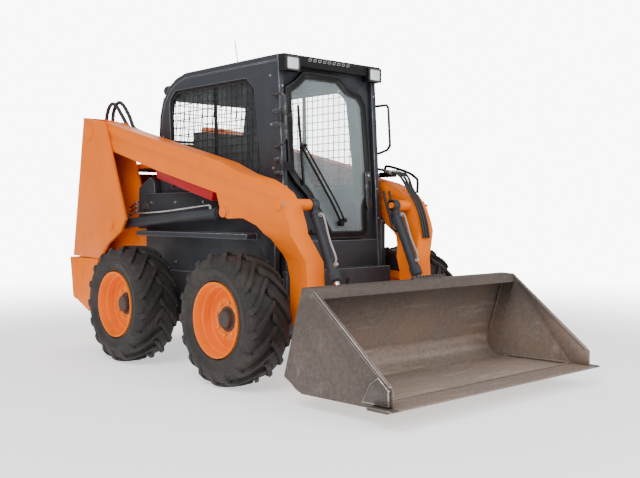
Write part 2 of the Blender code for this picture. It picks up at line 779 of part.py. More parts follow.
ARM_HEEL = 0.075  # radius of the arm's rear end
ARM_TOE = 0.08  # radius of its end at the coupler
ARM_BACK = [(-0.646, 1.758), (-0.005, 1.607), (0.897, 1.385), (1.116, 1.303), (1.294, 1.261)]
ARM_BACK += [(1.396, 1.217), (1.469, 1.176), (1.540, 1.090), (1.582, 0.990), (1.62, 0.85)]
ARM_BACK += [(1.641, 0.761), (1.651, 0.619)]
ARM_BELLY = [(1.495, 0.42), (1.495, 0.66), (1.45, 0.81), (1.394, 0.899), (1.272, 0.979)]
ARM_BELLY += [(1.127, 1.024), (0.974, 1.018), (0.905, 1.045), (0.851, 1.186), (0.138, 1.352)]
ARM_BELLY += [(-0.498, 1.520)]
CROSS_TUBE = (1.535, 0.47)
CROSS_TUBE_RADIUS = 0.042
EYE_RADIUS = 0.04
EYE_SLOT = (0.79, 1.05, 1.168)  # rear, front and top of the slot for the lift rod's eye


def jogged(solid, side):
    """Steps the part of the arm below the knee in towards the middle of the machine."""
    shape = bmesh.new()
    shape.from_mesh(solid.data)
    for z in (JOG_TOP, JOG_BOTTOM):
        everything = list(shape.verts) + list(shape.edges) + list(shape.faces)
        bmesh.ops.bisect_plane(shape, geom=everything, plane_co=(0, 0, z), plane_no=(0, 0, 1))
    for vert in shape.verts:
        share = min(1.0, max(0.0, (JOG_TOP - vert.co.z) / (JOG_TOP - JOG_BOTTOM)))
        vert.co.y -= side * ARM_JOG * share
    shape.to_mesh(solid.data)
    shape.free()
    return solid


def make_arm(side_name, side, place):
    heel = arc(ARM_PIVOT, ARM_HEEL, 262, 75, 7)
    toe = arc(COUPLER_PIN, ARM_TOE, 20, -175, 7)
    outline = heel + ARM_BACK + toe + ARM_BELLY
    arm = jogged(side_prism(outline, *mirrored(side, ARM_INNER, ARM_OUTER)), side)
    rear, front, top = EYE_SLOT
    half = EYE_WIDTH / 2 + PLAY
    y0, y1 = sorted(mirrored(side, LIFT_CYLINDER_Y - half, LIFT_CYLINDER_Y + half))
    slot = block((rear, y0, 0.9), (front, y1, top))
    bore = PIN_RADIUS + 0.008 + PLAY
    heel_bore = pin(ARM_PIVOT, *mirrored(side, 0.3, 0.8), bore)
    toe_bore = pin(COUPLER_PIN, *mirrored(side, 0.3, 0.8), PIN_RADIUS + PLAY)
    arm = cut(arm, slot, heel_bore, toe_bore)
    tilt_end = TILT_CYLINDER_Y - EYE_WIDTH / 2 - 0.004
    tilt_pin = pin(TILT_BASE_PIN, *mirrored(side, tilt_end, ARM_INNER + 0.02), PIN_RADIUS)
    boss_end = TILT_CYLINDER_Y + EYE_WIDTH / 2 + PLAY
    boss = pin(TILT_BASE_PIN, *mirrored(side, boss_end, ARM_INNER + 0.01), 0.036)
    caps = [
        pin(LIFT_ROD_PIN, *mirrored(side, ARM_OUTER - 0.004, ARM_OUTER + 0.012), 0.036, 20),
        pin(TILT_BASE_PIN, *mirrored(side, ARM_OUTER - 0.004, ARM_OUTER + 0.010), 0.034, 20),
    ]
    settle(join(arm, tilt_pin, boss, *caps), "lift_arm_" + side_name, ORANGE, place)


SUPPORT_X = (0.09, 0.80)
SUPPORT_DEPTH = 0.062
SUPPORT_Y = (0.565, 0.63)


def arm_belly_z(x):
    """The arm's lower edge above the red support bar."""
    (x0, z0), (x1, z1) = ARM_BELLY[-2], ARM_BELLY[-3]
    return z0 + (z1 - z0) * (x - x0) / (x1 - x0)


def make_arm_support(place):
    top = [(x, arm_belly_z(x) - 0.0015) for x in SUPPORT_X]
    low = [(x + dx, z - SUPPORT_DEPTH) for (x, z), dx in zip(reversed(top), (-0.02, 0.02))]
    bar = side_prism(top + low, *mirrored(-1, *SUPPORT_Y))
    settle(bar, "arm_support", RED, place)


def make_cross_tube(place):
    end = ARM_INNER - ARM_JOG - GAP
    settle(pin(CROSS_TUBE, -end, end, CROSS_TUBE_RADIUS, 20), "arm_cross_tube", ORANGE, place)


AUX_BLOCK = ((1.16, 0.545, 1.302), (1.30, 0.60, 1.345))


def make_aux_lines(place):
    """The auxiliary couplers' block and its guard bar on the left arm's knee."""
    low, high = AUX_BLOCK
    body = block((low[0], low[1], 1.306), high)
    side_on = [(1.19, 1.33), (1.20, 1.38), (1.40, 1.335), (1.50, 1.275), (1.50, 1.19)]
    guard = tube_path([(x, 0.575, z) for x, z in side_on], 0.012)
    settle(join(body, guard), "aux_lines", BLACK, place)


HOSE_RADIUS = 0.010
HOSE_Y = 0.444


def make_arm_hoses(place):
    """Two hoses that arch from the tower's top to the inner face of the right arm."""
    hoses = []
    for lift, reach in ((0.0, 0.0), (0.045, 0.05)):
        points = [(-0.965 + reach, 1.80), (-0.92 + reach, 1.865 + lift), (-0.86 + reach, 1.895 + lift)]
        points += [(-0.78 + reach, 1.885 + lift), (-0.66 + reach, 1.82 + lift), (-0.53 + reach, 1.685)]
        hoses.append(tube_path([(x, -HOSE_Y, z) for x, z in points], HOSE_RADIUS))
    clamp = block((-0.535, GAP - ARM_INNER, 1.66), (-0.455, 0.012 - HOSE_Y, 1.70))
    settle(join(clamp, *hoses), "arm_hoses", HOSE, place)


# --- cylinders ----------------------------------------------------------------------------------


def along(start, end, distance, y):
    """A point at a distance from one pin towards another."""
    line = Vector((end[0] - start[0], end[1] - start[1])).normalized() * distance
    return start[0] + line.x, y, start[1] + line.y


def make_cylinder(name, base, tip, y, bore, thickness, barrel_length, rod_start, places):
    """A hydraulic cylinder: the barrel turns about its base pin and the rod slides in it."""
    def at(distance):
        return along(base, tip, distance, y)

    length = math.dist(base, tip)
    half = EYE_WIDTH / 2
    barrel_place, rod_place = places
    barrel = rod(at(0.05), at(barrel_length), bore, 20)
    neck = rod(at(0.0), at(0.08), bore * 0.7, 12)
    eye = pin(base, y - half, y + half, EYE_RADIUS)
    well = rod(at(0.09), at(barrel_length + 0.05), thickness + 0.004, 16)
    pin_bore = pin(base, y - half - 0.05, y + half + 0.05, PIN_RADIUS + 0.008 + PLAY)
    barrel = cut(join(barrel, neck, eye), well, pin_bore)
    settle(barrel, f"{name[0]}_barrel_{name[1]}", SLATE, barrel_place)

    bar = rod(at(rod_start), at(length - 0.03), thickness, 16)
    tip_eye = pin(tip, y - half, y + half, EYE_RADIUS)
    tip_bore = pin(tip, y - half - 0.05, y + half + 0.05, PIN_RADIUS)
    settle(cut(join(bar, tip_eye), tip_bore), f"{name[0]}_rod_{name[1]}", CHROME, rod_place)


LIFT_BARREL_LENGTH = 1.27
TILT_BARREL_LENGTH = 0.50
LIFT_ROD_START = 0.13  # the rods' inner ends at rest, from the base pin
TILT_ROD_START = 0.21


# --- coupler and bucket -------------------------------------------------------------------------

BUCKET_FLOOR_Z = 0.082  # under the heel of the bucket
BUCKET_FLOOR_RISE = 0.019  # for each metre forward
BUCKET_BACK_FOOT = (1.84, 0.158)
BUCKET_BACK_TOP = (1.992, 0.657)
BUCKET_FLOOR_END = 2.53
BUCKET_HEEL_RADIUS = 0.13
COUPLER_Z = (0.20, 0.585)
COUPLER_HALF_WIDTH = 0.585
COUPLER_PLATE = 0.018
INNER_LUG = (0.398, 0.409)
OUTER_LUG = (0.561, 0.575)
FAR_LUG = (0.318, 0.331)


def bucket_back_x(z):
    (x0, z0), (x1, z1) = BUCKET_BACK_FOOT, BUCKET_BACK_TOP
    return x0 + (x1 - x0) * (z - z0) / (z1 - z0)


def bucket_floor_z(x):
    return BUCKET_FLOOR_Z + BUCKET_FLOOR_RISE * (x - 1.987)


def make_coupler(place):
    low, high = COUPLER_Z
    face = [(bucket_back_x(z) - 0.0015, z) for z in (low, high)]
    plate = face + [(x - COUPLER_PLATE, z) for x, z in reversed(face)]
    root = [(bucket_back_x(z) - 0.008, z) for z in (low + 0.01, high - 0.02)]
    foot = [(bucket_back_x(z) - 0.008, z) for z in (low + 0.01, low + 0.20)]
    around_toe = arc(COUPLER_PIN, 0.062, 0, 330, 11)
    around_eye = arc(TILT_ROD_PIN, 0.042, 0, 330, 11)
    parts = []
    for _, side in SIDES:
        parts.append(side_prism(hull(root + around_toe + around_eye), *mirrored(side, *INNER_LUG)))
        parts.append(side_prism(hull(root + around_eye), *mirrored(side, *FAR_LUG)))
        parts.append(side_prism(hull(foot + around_toe), *mirrored(side, *OUTER_LUG)))
        ends = mirrored(side, INNER_LUG[0] + 0.001, OUTER_LUG[1] + 0.008)
        parts.append(pin(COUPLER_PIN, *ends, PIN_RADIUS))
    board = side_prism(plate, -COUPLER_HALF_WIDTH, COUPLER_HALF_WIDTH)
    settle(join(board, *parts), "coupler", BLACK, place)


def make_bucket(place):
    x_end = BUCKET_FLOOR_END
    corner = (bucket_back_x(BUCKET_FLOOR_Z), BUCKET_FLOOR_Z)
    heel = rounded(corner, (x_end, bucket_floor_z(x_end)), BUCKET_BACK_TOP, BUCKET_HEEL_RADIUS, 7)
    outer = [(x_end, bucket_floor_z(x_end))] + heel + [BUCKET_BACK_TOP]
    inner = offset(outer, -BUCKET_SHEET, closed=False)
    inner[0] = (x_end, inner[0][1])
    half = BUCKET_HALF_WIDTH - 0.004
    shell = side_prism(outer + inner[::-1], -half, half)
    lip = [(1.988, 0.645), (1.994, 0.6575), (2.086, 0.652), (2.100, 0.600), (2.084, 0.600), (2.070, 0.636)]
    lip = side_prism(lip, -half, half)
    edge_top = bucket_floor_z(x_end) + EDGE_PLATE + 0.002
    outline = [BUCKET_BACK_TOP, (2.085, 0.653), (2.652, 0.202), (2.652, edge_top + GAP)]
    outline += [(x_end + GAP, edge_top + GAP), (x_end, bucket_floor_z(x_end)), (1.987, BUCKET_FLOOR_Z)]
    outline += [BUCKET_BACK_FOOT]
    cheeks = [
        side_prism(outline, *mirrored(side, BUCKET_HALF_WIDTH - BUCKET_SIDE, BUCKET_HALF_WIDTH))
        for _, side in SIDES
    ]
    settle(join(shell, lip, *cheeks), "bucket_shell", STEEL, place)

    low = bucket_floor_z(x_end)
    tip_x, tip_z = EDGE_TIP
    edge = [(x_end + GAP, low), (tip_x - 0.03, low + 0.002), (tip_x, tip_z), (tip_x - 0.012, edge_top)]
    edge += [(x_end + GAP, edge_top)]
    settle(side_prism(edge, -EDGE_HALF_WIDTH, EDGE_HALF_WIDTH), "cutting_edge", STEEL, place)


def on_side(at, y):
    return at[0], y, at[1]


def make_loader():
    arms = pivot("arm_pivot", on_side(ARM_PIVOT, 0))
    bucket = pivot("coupler_pivot", on_side(COUPLER_PIN, 0), arms)
    lift_base = pivot("lift_cylinder_base", on_side(LIFT_BASE_PIN, 0))
    tilt_base = pivot("tilt_cylinder_base", on_side(TILT_BASE_PIN, 0), arms)
    lift_rod = pivot("lift_rod_eye", on_side(LIFT_ROD_PIN, 0), lift_base)
    tilt_rod = pivot("tilt_rod_eye", on_side(TILT_ROD_PIN, 0), tilt_base)
    for side_name, side in SIDES:
        make_arm(side_name, side, arms)
        make_cylinder(
            ("lift", side_name), LIFT_BASE_PIN, LIFT_ROD_PIN, side * LIFT_CYLINDER_Y,
            LIFT_BORE_RADIUS, LIFT_ROD_RADIUS, LIFT_BARREL_LENGTH, LIFT_ROD_START, (lift_base, lift_rod),
        )
        make_cylinder(
            ("tilt", side_name), TILT_BASE_PIN, TILT_ROD_PIN, side * TILT_CYLINDER_Y,
            TILT_BORE_RADIUS, TILT_ROD_RADIUS, TILT_BARREL_LENGTH, TILT_ROD_START, (tilt_base, tilt_rod),
        )
    make_arm_support(arms)
    make_cross_tube(arms)
    make_aux_lines(arms)
    make_arm_hoses(arms)
    make_coupler(bucket)
    make_bucket(bucket)


make_loader()
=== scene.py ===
"""The looks of the skid steer loader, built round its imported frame."""

import json
import math

import bmesh
import bpy
from mathutils import Matrix, Vector
from mathutils.bvhtree import BVHTree

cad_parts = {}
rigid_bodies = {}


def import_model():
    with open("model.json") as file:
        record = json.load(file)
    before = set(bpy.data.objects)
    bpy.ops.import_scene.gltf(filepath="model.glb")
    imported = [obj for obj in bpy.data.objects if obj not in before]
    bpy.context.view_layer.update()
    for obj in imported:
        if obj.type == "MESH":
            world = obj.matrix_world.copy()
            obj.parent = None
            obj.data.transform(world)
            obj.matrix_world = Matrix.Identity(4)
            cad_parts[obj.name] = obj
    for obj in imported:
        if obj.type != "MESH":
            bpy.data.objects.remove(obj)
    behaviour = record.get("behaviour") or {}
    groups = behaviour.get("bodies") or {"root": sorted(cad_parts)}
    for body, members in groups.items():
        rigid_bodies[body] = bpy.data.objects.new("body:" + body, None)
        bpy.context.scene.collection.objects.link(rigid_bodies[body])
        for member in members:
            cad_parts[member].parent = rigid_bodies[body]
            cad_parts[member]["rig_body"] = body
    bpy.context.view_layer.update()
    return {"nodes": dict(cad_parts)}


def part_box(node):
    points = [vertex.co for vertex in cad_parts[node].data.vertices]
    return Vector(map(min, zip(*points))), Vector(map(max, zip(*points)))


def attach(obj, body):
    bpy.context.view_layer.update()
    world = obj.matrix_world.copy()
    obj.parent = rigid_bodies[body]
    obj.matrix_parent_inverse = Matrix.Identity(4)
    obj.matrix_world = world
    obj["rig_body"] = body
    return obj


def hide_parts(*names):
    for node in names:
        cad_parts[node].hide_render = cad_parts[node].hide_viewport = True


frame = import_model()

SIDES = (("right", -1), ("left", 1))
AXLES = ("front", "rear")


def middle(node):
    low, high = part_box(node)
    return (low + high) / 2


# Every piece below is drawn from the rear axle (x = 0), the centre line and the ground.
REAR_AXLE = middle("rim_rear_right").x
TO_FRAME = Matrix.Translation((REAR_AXLE, 0, 0))
WHEELBASE = middle("rim_front_right").x - REAR_AXLE
TYRE_RADIUS = middle("rim_rear_right").z
TYRE_Y = middle("tyre_rear_left").y
TYRE_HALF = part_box("tyre_rear_left")[1].y - TYRE_Y
RIM_RADIUS = (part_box("rim_rear_left")[1].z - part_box("rim_rear_left")[0].z) / 2
CAB_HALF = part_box("cab_side_left")[1].y
ROOF_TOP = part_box("cab_roof")[1].z
FRONT_FOOT = Vector((1.306, 0.842))  # x and z where the cab's front face meets the door's foot
FRONT_LEAN = 0.0593


def front_x(z):
    """The cab's front face at height z."""
    return FRONT_FOOT.x - (z - FRONT_FOOT.y) * FRONT_LEAN


# --- finishes -----------------------------------------------------------------------------------


def put(tree, socket, value):
    """Links what a socket takes, or sets it."""
    if isinstance(value, bpy.types.NodeSocket):
        tree.links.new(value, socket)
    else:
        socket.default_value = value


def linked(tree, kind, feeds=None, **settings):
    """A new node with its settings and what its sockets take."""
    node = tree.nodes.new(kind)
    for key, value in settings.items():
        setattr(node, key, value)
    for key, value in (feeds or {}).items():
        put(tree, node.inputs[key], value)
    return node


class Finish:
    """A material being made: its main shader, and short calls for the nodes that feed it."""

    def __init__(self, name, **values):
        self.material = bpy.data.materials.new(name)
        self.material.use_nodes = True
        self.tree = self.material.node_tree
        self.shader = self.tree.nodes["Principled BSDF"]
        for key, value in values.items():
            self.shader.inputs[key].default_value = value
        self.where = self.add("ShaderNodeTexCoord").outputs["Object"]

    def add(self, kind, feeds=None, **settings):
        return linked(self.tree, kind, feeds, **settings)

    def feed(self, socket, value):
        put(self.tree, socket, value)

    def stretched(self, scale):
        return self.add("ShaderNodeMapping", {"Vector": self.where, "Scale": scale}).outputs[0]

    def noise(self, scale, detail=4.0, roughness=0.55, stretch=None, warp=0.0):
        place = self.stretched(stretch) if stretch else self.where
        feeds = {"Vector": place, "Scale": scale, "Detail": detail, "Roughness": roughness}
        feeds["Distortion"] = warp
        return self.add("ShaderNodeTexNoise", feeds).outputs["Fac"]

    def cells(self, scale):
        return self.add("ShaderNodeTexVoronoi", {"Vector": self.where, "Scale": scale}).outputs["Distance"]

    def band(self, value, low, high, bottom=0.0, top=1.0):
        """The value spread from bottom to top as it goes from low to high."""
        feeds = {0: value, 1: low, 2: high, 3: bottom, 4: top}
        return self.add("ShaderNodeMapRange", feeds, interpolation_type="SMOOTHSTEP").outputs[0]

    def sum(self, kind, one, two=0.5):
        return self.add("ShaderNodeMath", {0: one, 1: two}, operation=kind).outputs[0]

    def part(self, axis):
        return self.add("ShaderNodeSeparateXYZ", {0: self.where}).outputs[axis]

    def facing_up(self):
        normal = self.add("ShaderNodeTexCoord").outputs["Normal"]
        return self.add("ShaderNodeSeparateXYZ", {0: normal}).outputs[2]

    def mix(self, share, one, two):
        node = self.add("ShaderNodeMix", data_type="RGBA")
        self.feed(node.inputs[0], share)
        for socket, colour in ((node.inputs[6], one), (node.inputs[7], two)):
            self.feed(socket, colour if isinstance(colour, bpy.types.NodeSocket) else (*colour, 1))
        return node.outputs[2]

    def colour(self, value):
        self.feed(self.shader.inputs["Base Color"], value)

    def rough(self, value):
        self.feed(self.shader.inputs["Roughness"], value)

    def metal(self, value):
        self.feed(self.shader.inputs["Metallic"], value)

    def bump(self, height, strength, distance=0.001):
        feeds = {"Height": height, "Strength": strength, "Distance": distance}
        last = self.shader.inputs["Normal"]
        if last.links:
            feeds["Normal"] = last.links[0].from_socket
        self.tree.links.new(self.add("ShaderNodeBump", feeds).outputs[0], last)


def paint_finish(name, clean, dark, dust, roughness, grime=0.6, coat=0.25):
    """Sprayed paint: a fine orange-peel skin, dull patches, and dust that gathers low down and on ledges."""
    f = Finish(name, **{"Coat Weight": coat, "Coat Roughness": 0.22, "Specular IOR Level": 0.16})
    patches = f.noise(3.2, 6, 0.62)
    specks = f.noise(85, 3, 0.7)
    tone = f.mix(f.band(patches, 0.35, 0.75, 0.0, 0.55), clean, dark)
    low = f.band(f.part(2), 0.25, 1.25, 1.0, 0.12)
    settled = f.band(f.facing_up(), 0.55, 1.0, 0.0, 0.35)
    streaks = f.noise(9, 5, 0.6, stretch=(1, 1, 0.25))
    amount = f.sum("MULTIPLY", f.sum("ADD", low, settled), f.band(streaks, 0.42, 0.74, 0.0, grime))
    amount = f.sum("MULTIPLY", amount, f.band(specks, 0.3, 0.6, 0.6, 1.0))
    f.colour(f.mix(amount, tone, dust))
    sheen = f.band(patches, 0.3, 0.8, roughness, roughness + 0.14)
    f.rough(f.sum("ADD", sheen, f.sum("MULTIPLY", amount, 0.4)))
    f.bump(f.noise(260, 2, 0.5), 0.05, 0.0006)
    f.bump(f.noise(14, 3), 0.05, 0.002)
    return f.material


def worn_edge_finish(name, paint, bare, share):
    """Paint along an edge, rubbed through to bare metal in places. The edge paint given for orange, slate and
    black is lighter than the body's own: a painted highlight.
    """
    f = Finish(name)
    rubbed = f.band(f.noise(26, 6, 0.75), 0.52 - share * 0.3, 0.62 - share * 0.2)
    f.colour(f.mix(rubbed, paint, bare))
    f.metal(f.sum("MULTIPLY", rubbed, 0.8))
    f.rough(f.band(rubbed, 0, 1, 0.42, 0.36))
    f.bump(f.noise(120, 3), 0.08, 0.0008)
    return f.material


# Beyond these the bucket's steel is dark: on the outside of the side plates, which nothing rubs, and on the
# upper part, where the darkening is painted shade. They are the square of the distance from the middle,
# within the side plates' thickness, and the height.
OUTER_SIDE_SQUARED = (0.774, 0.786)
PAINTED_SHADE_HEIGHT = (0.24, 0.62)


def steel_finish(name, clean, stain, rust, scratch_along):
    """Digging steel: mill scale, rust stains, long scratches, a darker outside, and painted shade on the
    upper part.
    """
    f = Finish(name)
    blotches = f.noise(4.2, 8, 0.62, warp=0.6)
    fine = f.noise(38, 5, 0.7)
    scratches = f.noise(7, 9, 0.8, stretch=scratch_along)
    scratched = f.band(scratches, 0.53, 0.66, 0.0, 0.75)
    rusty = f.sum("MULTIPLY", f.band(blotches, 0.38, 0.74), f.band(fine, 0.30, 0.62, 0.55, 1.0))
    tone = f.mix(f.band(fine, 0.3, 0.7, 0.0, 0.7), clean, stain)
    tone = f.mix(f.sum("MULTIPLY", rusty, 0.85), tone, rust)
    bright = tuple(min(1.0, c * 2.1 + 0.05) for c in clean)
    tone = f.mix(f.sum("MULTIPLY", scratched, 0.55), tone, bright)
    across_squared = f.sum("MULTIPLY", f.part(1), f.part(1))
    # painted shade: the height band darkens the upper part towards near-black brown; the outside band darkens
    # the side plates' outer faces
    outside, upper = f.band(across_squared, *OUTER_SIDE_SQUARED), f.band(f.part(2), *PAINTED_SHADE_HEIGHT)
    outside_and_painted_shade = f.sum("MULTIPLY", f.sum("MAXIMUM", outside, upper), 0.72)
    f.colour(f.mix(outside_and_painted_shade, tone, (0.026, 0.021, 0.018)))
    f.metal(f.band(rusty, 0, 1, 0.35, 0.06))
    f.rough(f.sum("SUBTRACT", f.band(fine, 0.2, 0.8, 0.46, 0.68), f.sum("MULTIPLY", scratched, 0.16)))
    f.bump(fine, 0.12, 0.0010)
    f.bump(scratches, 0.12, 0.0010)
    f.bump(f.noise(5, 2), 0.10, 0.006)
    return f.material


def rubber_finish():
    """Tyre rubber with a coarse grain, greyed by dust in patches."""
    f = Finish("tyre_rubber")
    grain = f.noise(150, 4, 0.7)
    dusty = f.band(f.noise(7, 7, 0.68), 0.40, 0.72, 0.05, 0.75)
    dusty = f.sum("MULTIPLY", dusty, f.band(f.cells(46), 0.1, 0.6, 0.55, 1.0))
    f.colour(f.mix(dusty, (0.010, 0.0085, 0.008), (0.045, 0.033, 0.027)))
    f.rough(f.band(grain, 0.2, 0.8, 0.62, 0.88))
    f.bump(grain, 0.20, 0.0010)
    f.bump(f.noise(24, 5, 0.65), 0.25, 0.003)
    return f.material


def glass_finish(name, tint, clear):
    """Tinted safety glass, smeared a little so that it shows."""
    f = Finish(name, **{"IOR": 1.45, "Specular IOR Level": 0.65})
    f.shader.inputs["Base Color"].default_value = (*tint, 1)
    smears = f.noise(5, 6, 0.6, stretch=(1, 1, 0.4))
    f.rough(f.band(smears, 0.3, 0.8, 0.02, 0.09))
    f.feed(f.shader.inputs["Alpha"], f.band(smears, 0.3, 0.75, clear, clear + 0.10))
    return f.material


def plain_finish(name, colour, roughness, metallic=0.0, grain=180.0, depth=0.10, other=None):
    """A moulded, plated or cast surface with its own grain and slight mottling."""
    f = Finish(name)
    mottle = f.noise(11, 5, 0.6)
    other = other or tuple(c * 0.72 for c in colour)
    f.colour(f.mix(f.band(mottle, 0.35, 0.7, 0.0, 0.8), colour, other))
    f.metal(metallic)
    f.rough(f.band(mottle, 0.3, 0.75, roughness, min(1.0, roughness + 0.12)))
    f.bump(f.noise(grain, 3, 0.6), depth, 0.0008)
    return f.material


def lens_finish():
    """A pale ribbed lens with a faint glow."""
    f = Finish("lamp_lens", **{"Roughness": 0.12, "Coat Weight": 0.6, "Emission Strength": 0.25})
    ribs = f.add("ShaderNodeTexWave", {"Vector": f.where, "Scale": 60.0}, bands_direction="Y").outputs["Fac"]
    f.colour(f.mix(ribs, (0.80, 0.83, 0.86), (0.55, 0.58, 0.62)))
    f.shader.inputs["Emission Color"].default_value = (0.95, 0.97, 1, 1)
    f.bump(ribs, 0.5, 0.002)
    return f.material


ORANGE_RGB = (0.93, 0.182, 0.0)
SLATE_RGB = (0.036, 0.040, 0.048)
BLACK_RGB = (0.006, 0.0062, 0.007)

ORANGE = paint_finish("orange_paint", ORANGE_RGB, (0.82, 0.155, 0.0), (0.30, 0.088, 0.010), 0.46, 0.3, 0.0)
# The orange, slate and black edge paints are lighter than the body paints: a painted highlight along every
# softened edge, with real rubbed-through metal in patches.
ORANGE_EDGE_WEAR_AND_HIGHLIGHT = worn_edge_finish("orange_edge_wear_and_highlight", (0.93, 0.24, 0.004), (0.70, 0.26, 0.06), 0.12)
SLATE = paint_finish("slate_paint", SLATE_RGB, (0.028, 0.031, 0.038), (0.10, 0.095, 0.088), 0.46, 0.4, 0.06)
SLATE_EDGE_WEAR_AND_HIGHLIGHT = worn_edge_finish("slate_edge_wear_and_highlight", (0.095, 0.10, 0.115), (0.22, 0.22, 0.23), 0.1)
BLACK = paint_finish("black_paint", BLACK_RGB, (0.010, 0.010, 0.011), (0.05, 0.045, 0.04), 0.40, 0.3, 0.1)
BLACK_EDGE_WEAR_AND_HIGHLIGHT = worn_edge_finish("black_edge_wear_and_highlight", (0.03, 0.03, 0.033), (0.16, 0.16, 0.16), 0.1)
RED_RGB = (0.36, 0.006, 0.010)
RED = paint_finish("red_paint", RED_RGB, (0.27, 0.005, 0.008), (0.16, 0.05, 0.03), 0.36, 0.25, 0.1)
ALONG_Y, ALONG_X = (1, 0.12, 1), (0.15, 1, 1)  # stretches that lay the scratches one way
STEEL_RGB, CUTTING_RGB = (0.280, 0.222, 0.188), (0.26, 0.22, 0.20)
STEEL = steel_finish("bucket_steel", STEEL_RGB, (0.165, 0.125, 0.102), (0.250, 0.155, 0.105), ALONG_Y)
STEEL_EDGE = worn_edge_finish("steel_edge", (0.10, 0.085, 0.078), (0.46, 0.42, 0.39), 0.75)
EDGE_STEEL = steel_finish("cutting_steel", CUTTING_RGB, (0.15, 0.115, 0.095), (0.22, 0.125, 0.08), ALONG_X)
CHROME = plain_finish("chromed_rod", (0.62, 0.62, 0.64), 0.12, 1.0, 400, 0.02)
ZINC = plain_finish("zinc_fitting", (0.55, 0.54, 0.52), 0.28, 0.9, 120, 0.06)
RUBBER = rubber_finish()
HOSE = plain_finish("hose_rubber", (0.013, 0.013, 0.014), 0.52, 0.0, 300, 0.12, (0.03, 0.028, 0.027))
SEAL = plain_finish("door_seal", (0.008, 0.008, 0.009), 0.6, 0.0, 240, 0.08)
VINYL = plain_finish("seat_vinyl", (0.022, 0.022, 0.024), 0.55, 0.0, 90, 0.30, (0.045, 0.044, 0.045))
PLASTIC = plain_finish("moulded_plastic", (0.018, 0.018, 0.020), 0.45, 0.0, 320, 0.12)
CAST = plain_finish("cast_iron", (0.05, 0.047, 0.045), 0.6, 0.4, 60, 0.3, (0.10, 0.07, 0.05))
GLASS = glass_finish("tinted_glass", (0.44, 0.52, 0.55), 0.20)
SIDE_GLASS = glass_finish("side_glass", (0.34, 0.41, 0.43), 0.05)
LENS = lens_finish()
RED_LENS = plain_finish("red_lens", (0.45, 0.01, 0.01), 0.15, 0.0, 60, 0.2)
WIRE = plain_finish("screen_wire", (0.014, 0.014, 0.015), 0.45, 0.3, 200, 0.08)

# --- shaping ------------------------------------------------------------------------------------


def loft(bm, rings, closed_ring=True, capped=True):
    """A skin through rings of points, one ring after another, with its two ends closed."""
    rows = [[bm.verts.new(point) for point in ring] for ring in rings]
    for one, two in zip(rows, rows[1:]):
        for i in range(len(one) if closed_ring else len(one) - 1):
            k = (i + 1) % len(one)
            bm.faces.new((one[i], one[k], two[k], two[i]))
    if capped:
        bm.faces.new(rows[0])
        bm.faces.new(rows[-1])


def plate(bm, outline, near, far):
    """A flat shape of corners (u, v) between the points that near(u, v) and far(u, v) give."""
    loft(bm, [[near(*corner) for corner in outline], [far(*corner) for corner in outline]])


def side_plate(bm, outline, y0, y1):
    plate(bm, outline, lambda x, z: (x, y0, z), lambda x, z: (x, y1, z))


def front_plate(bm, outline, back, front):
    plate(bm, outline, lambda y, z: (front_x(z) + back, y, z), lambda y, z: (front_x(z) + front, y, z))


def block(bm, low, high):
    x0, y0, z0 = low
    x1, y1, z1 = high
    side_plate(bm, [(x0, z0), (x1, z0), (x1, z1), (x0, z1)], y0, y1)


def across(axis):
    """Two directions square to an axis."""
    other = Vector((0, 0, 1)) if abs(axis.z) < 0.9 else Vector((1, 0, 0))
    u = axis.cross(other).normalized()
    return u, axis.cross(u).normalized()


def turned(bm, start, axis, profile, around=32):
    """A lathe shape: profile points are (along the axis from start, radius); it closes on the axis."""
    start, axis = Vector(start), Vector(axis).normalized()
    u, v = across(axis)
    rings = []
    for along, radius in profile:
        ring = []
        for i in range(around):
            angle = 2 * math.pi * i / around
            ring.append(start + axis * along + (u * math.cos(angle) + v * math.sin(angle)) * radius)
        rings.append(ring)
    loft(bm, rings)


def lathe_ring(bm, start, axis, profile, around=64):
    """A lathe shape whose profile is a closed loop that stays clear of the axis."""
    start, axis = Vector(start), Vector(axis).normalized()
    u, v = across(axis)
    rows = []
    for i in range(around):
        angle = 2 * math.pi * i / around
        out = u * math.cos(angle) + v * math.sin(angle)
        rows.append([start + axis * along + out * radius for along, radius in profile])
    loft(bm, rows + [rows[0]], capped=False)
    bmesh.ops.remove_doubles(bm, verts=bm.verts, dist=1e-6)


def rod(bm, start, end, radius, around=16, chamfer=0.001):
    """A round bar with chamfered ends."""
    start, end = Vector(start), Vector(end)
    length, end_radius = (end - start).length, radius - chamfer
    profile = [(0, end_radius), (chamfer, radius), (length - chamfer, radius), (length, end_radius)]
    turned(bm, start, end - start, profile, around)


def smooth_path(points, per=6):
    """A curve through the points, as a list of points with `per` steps between one and the next."""
    points = [Vector(p) for p in points]
    ends = [points[0] * 2 - points[1]] + points + [points[-1] * 2 - points[-2]]
    path = []
    for a, b, c, d in zip(ends, ends[1:], ends[2:], ends[3:]):
        for i in range(per):
            t = i / per
            squared, cubed = (2 * a - 5 * b + 4 * c - d) * t**2, (3 * b - a - 3 * c + d) * t**3
            path.append(0.5 * (2 * b + (c - a) * t + squared + cubed))
    return path + [points[-1]]


def hose(bm, points, radius, around=10, per=6):
    """A round hose or bent pipe along the points, its section carried along without twisting."""
    path = smooth_path(points, per)
    u = across((path[1] - path[0]).normalized())[0]
    rings = []
    for i, point in enumerate(path):
        ahead = (path[min(i + 1, len(path) - 1)] - path[max(i - 1, 0)]).normalized()
        u = (u - ahead * u.dot(ahead)).normalized()
        v = ahead.cross(u)
        ring = []
        for k in range(around):
            angle = 2 * math.pi * k / around
            ring.append(point + (u * math.cos(angle) + v * math.sin(angle)) * radius)
        rings.append(ring)
    loft(bm, rings)


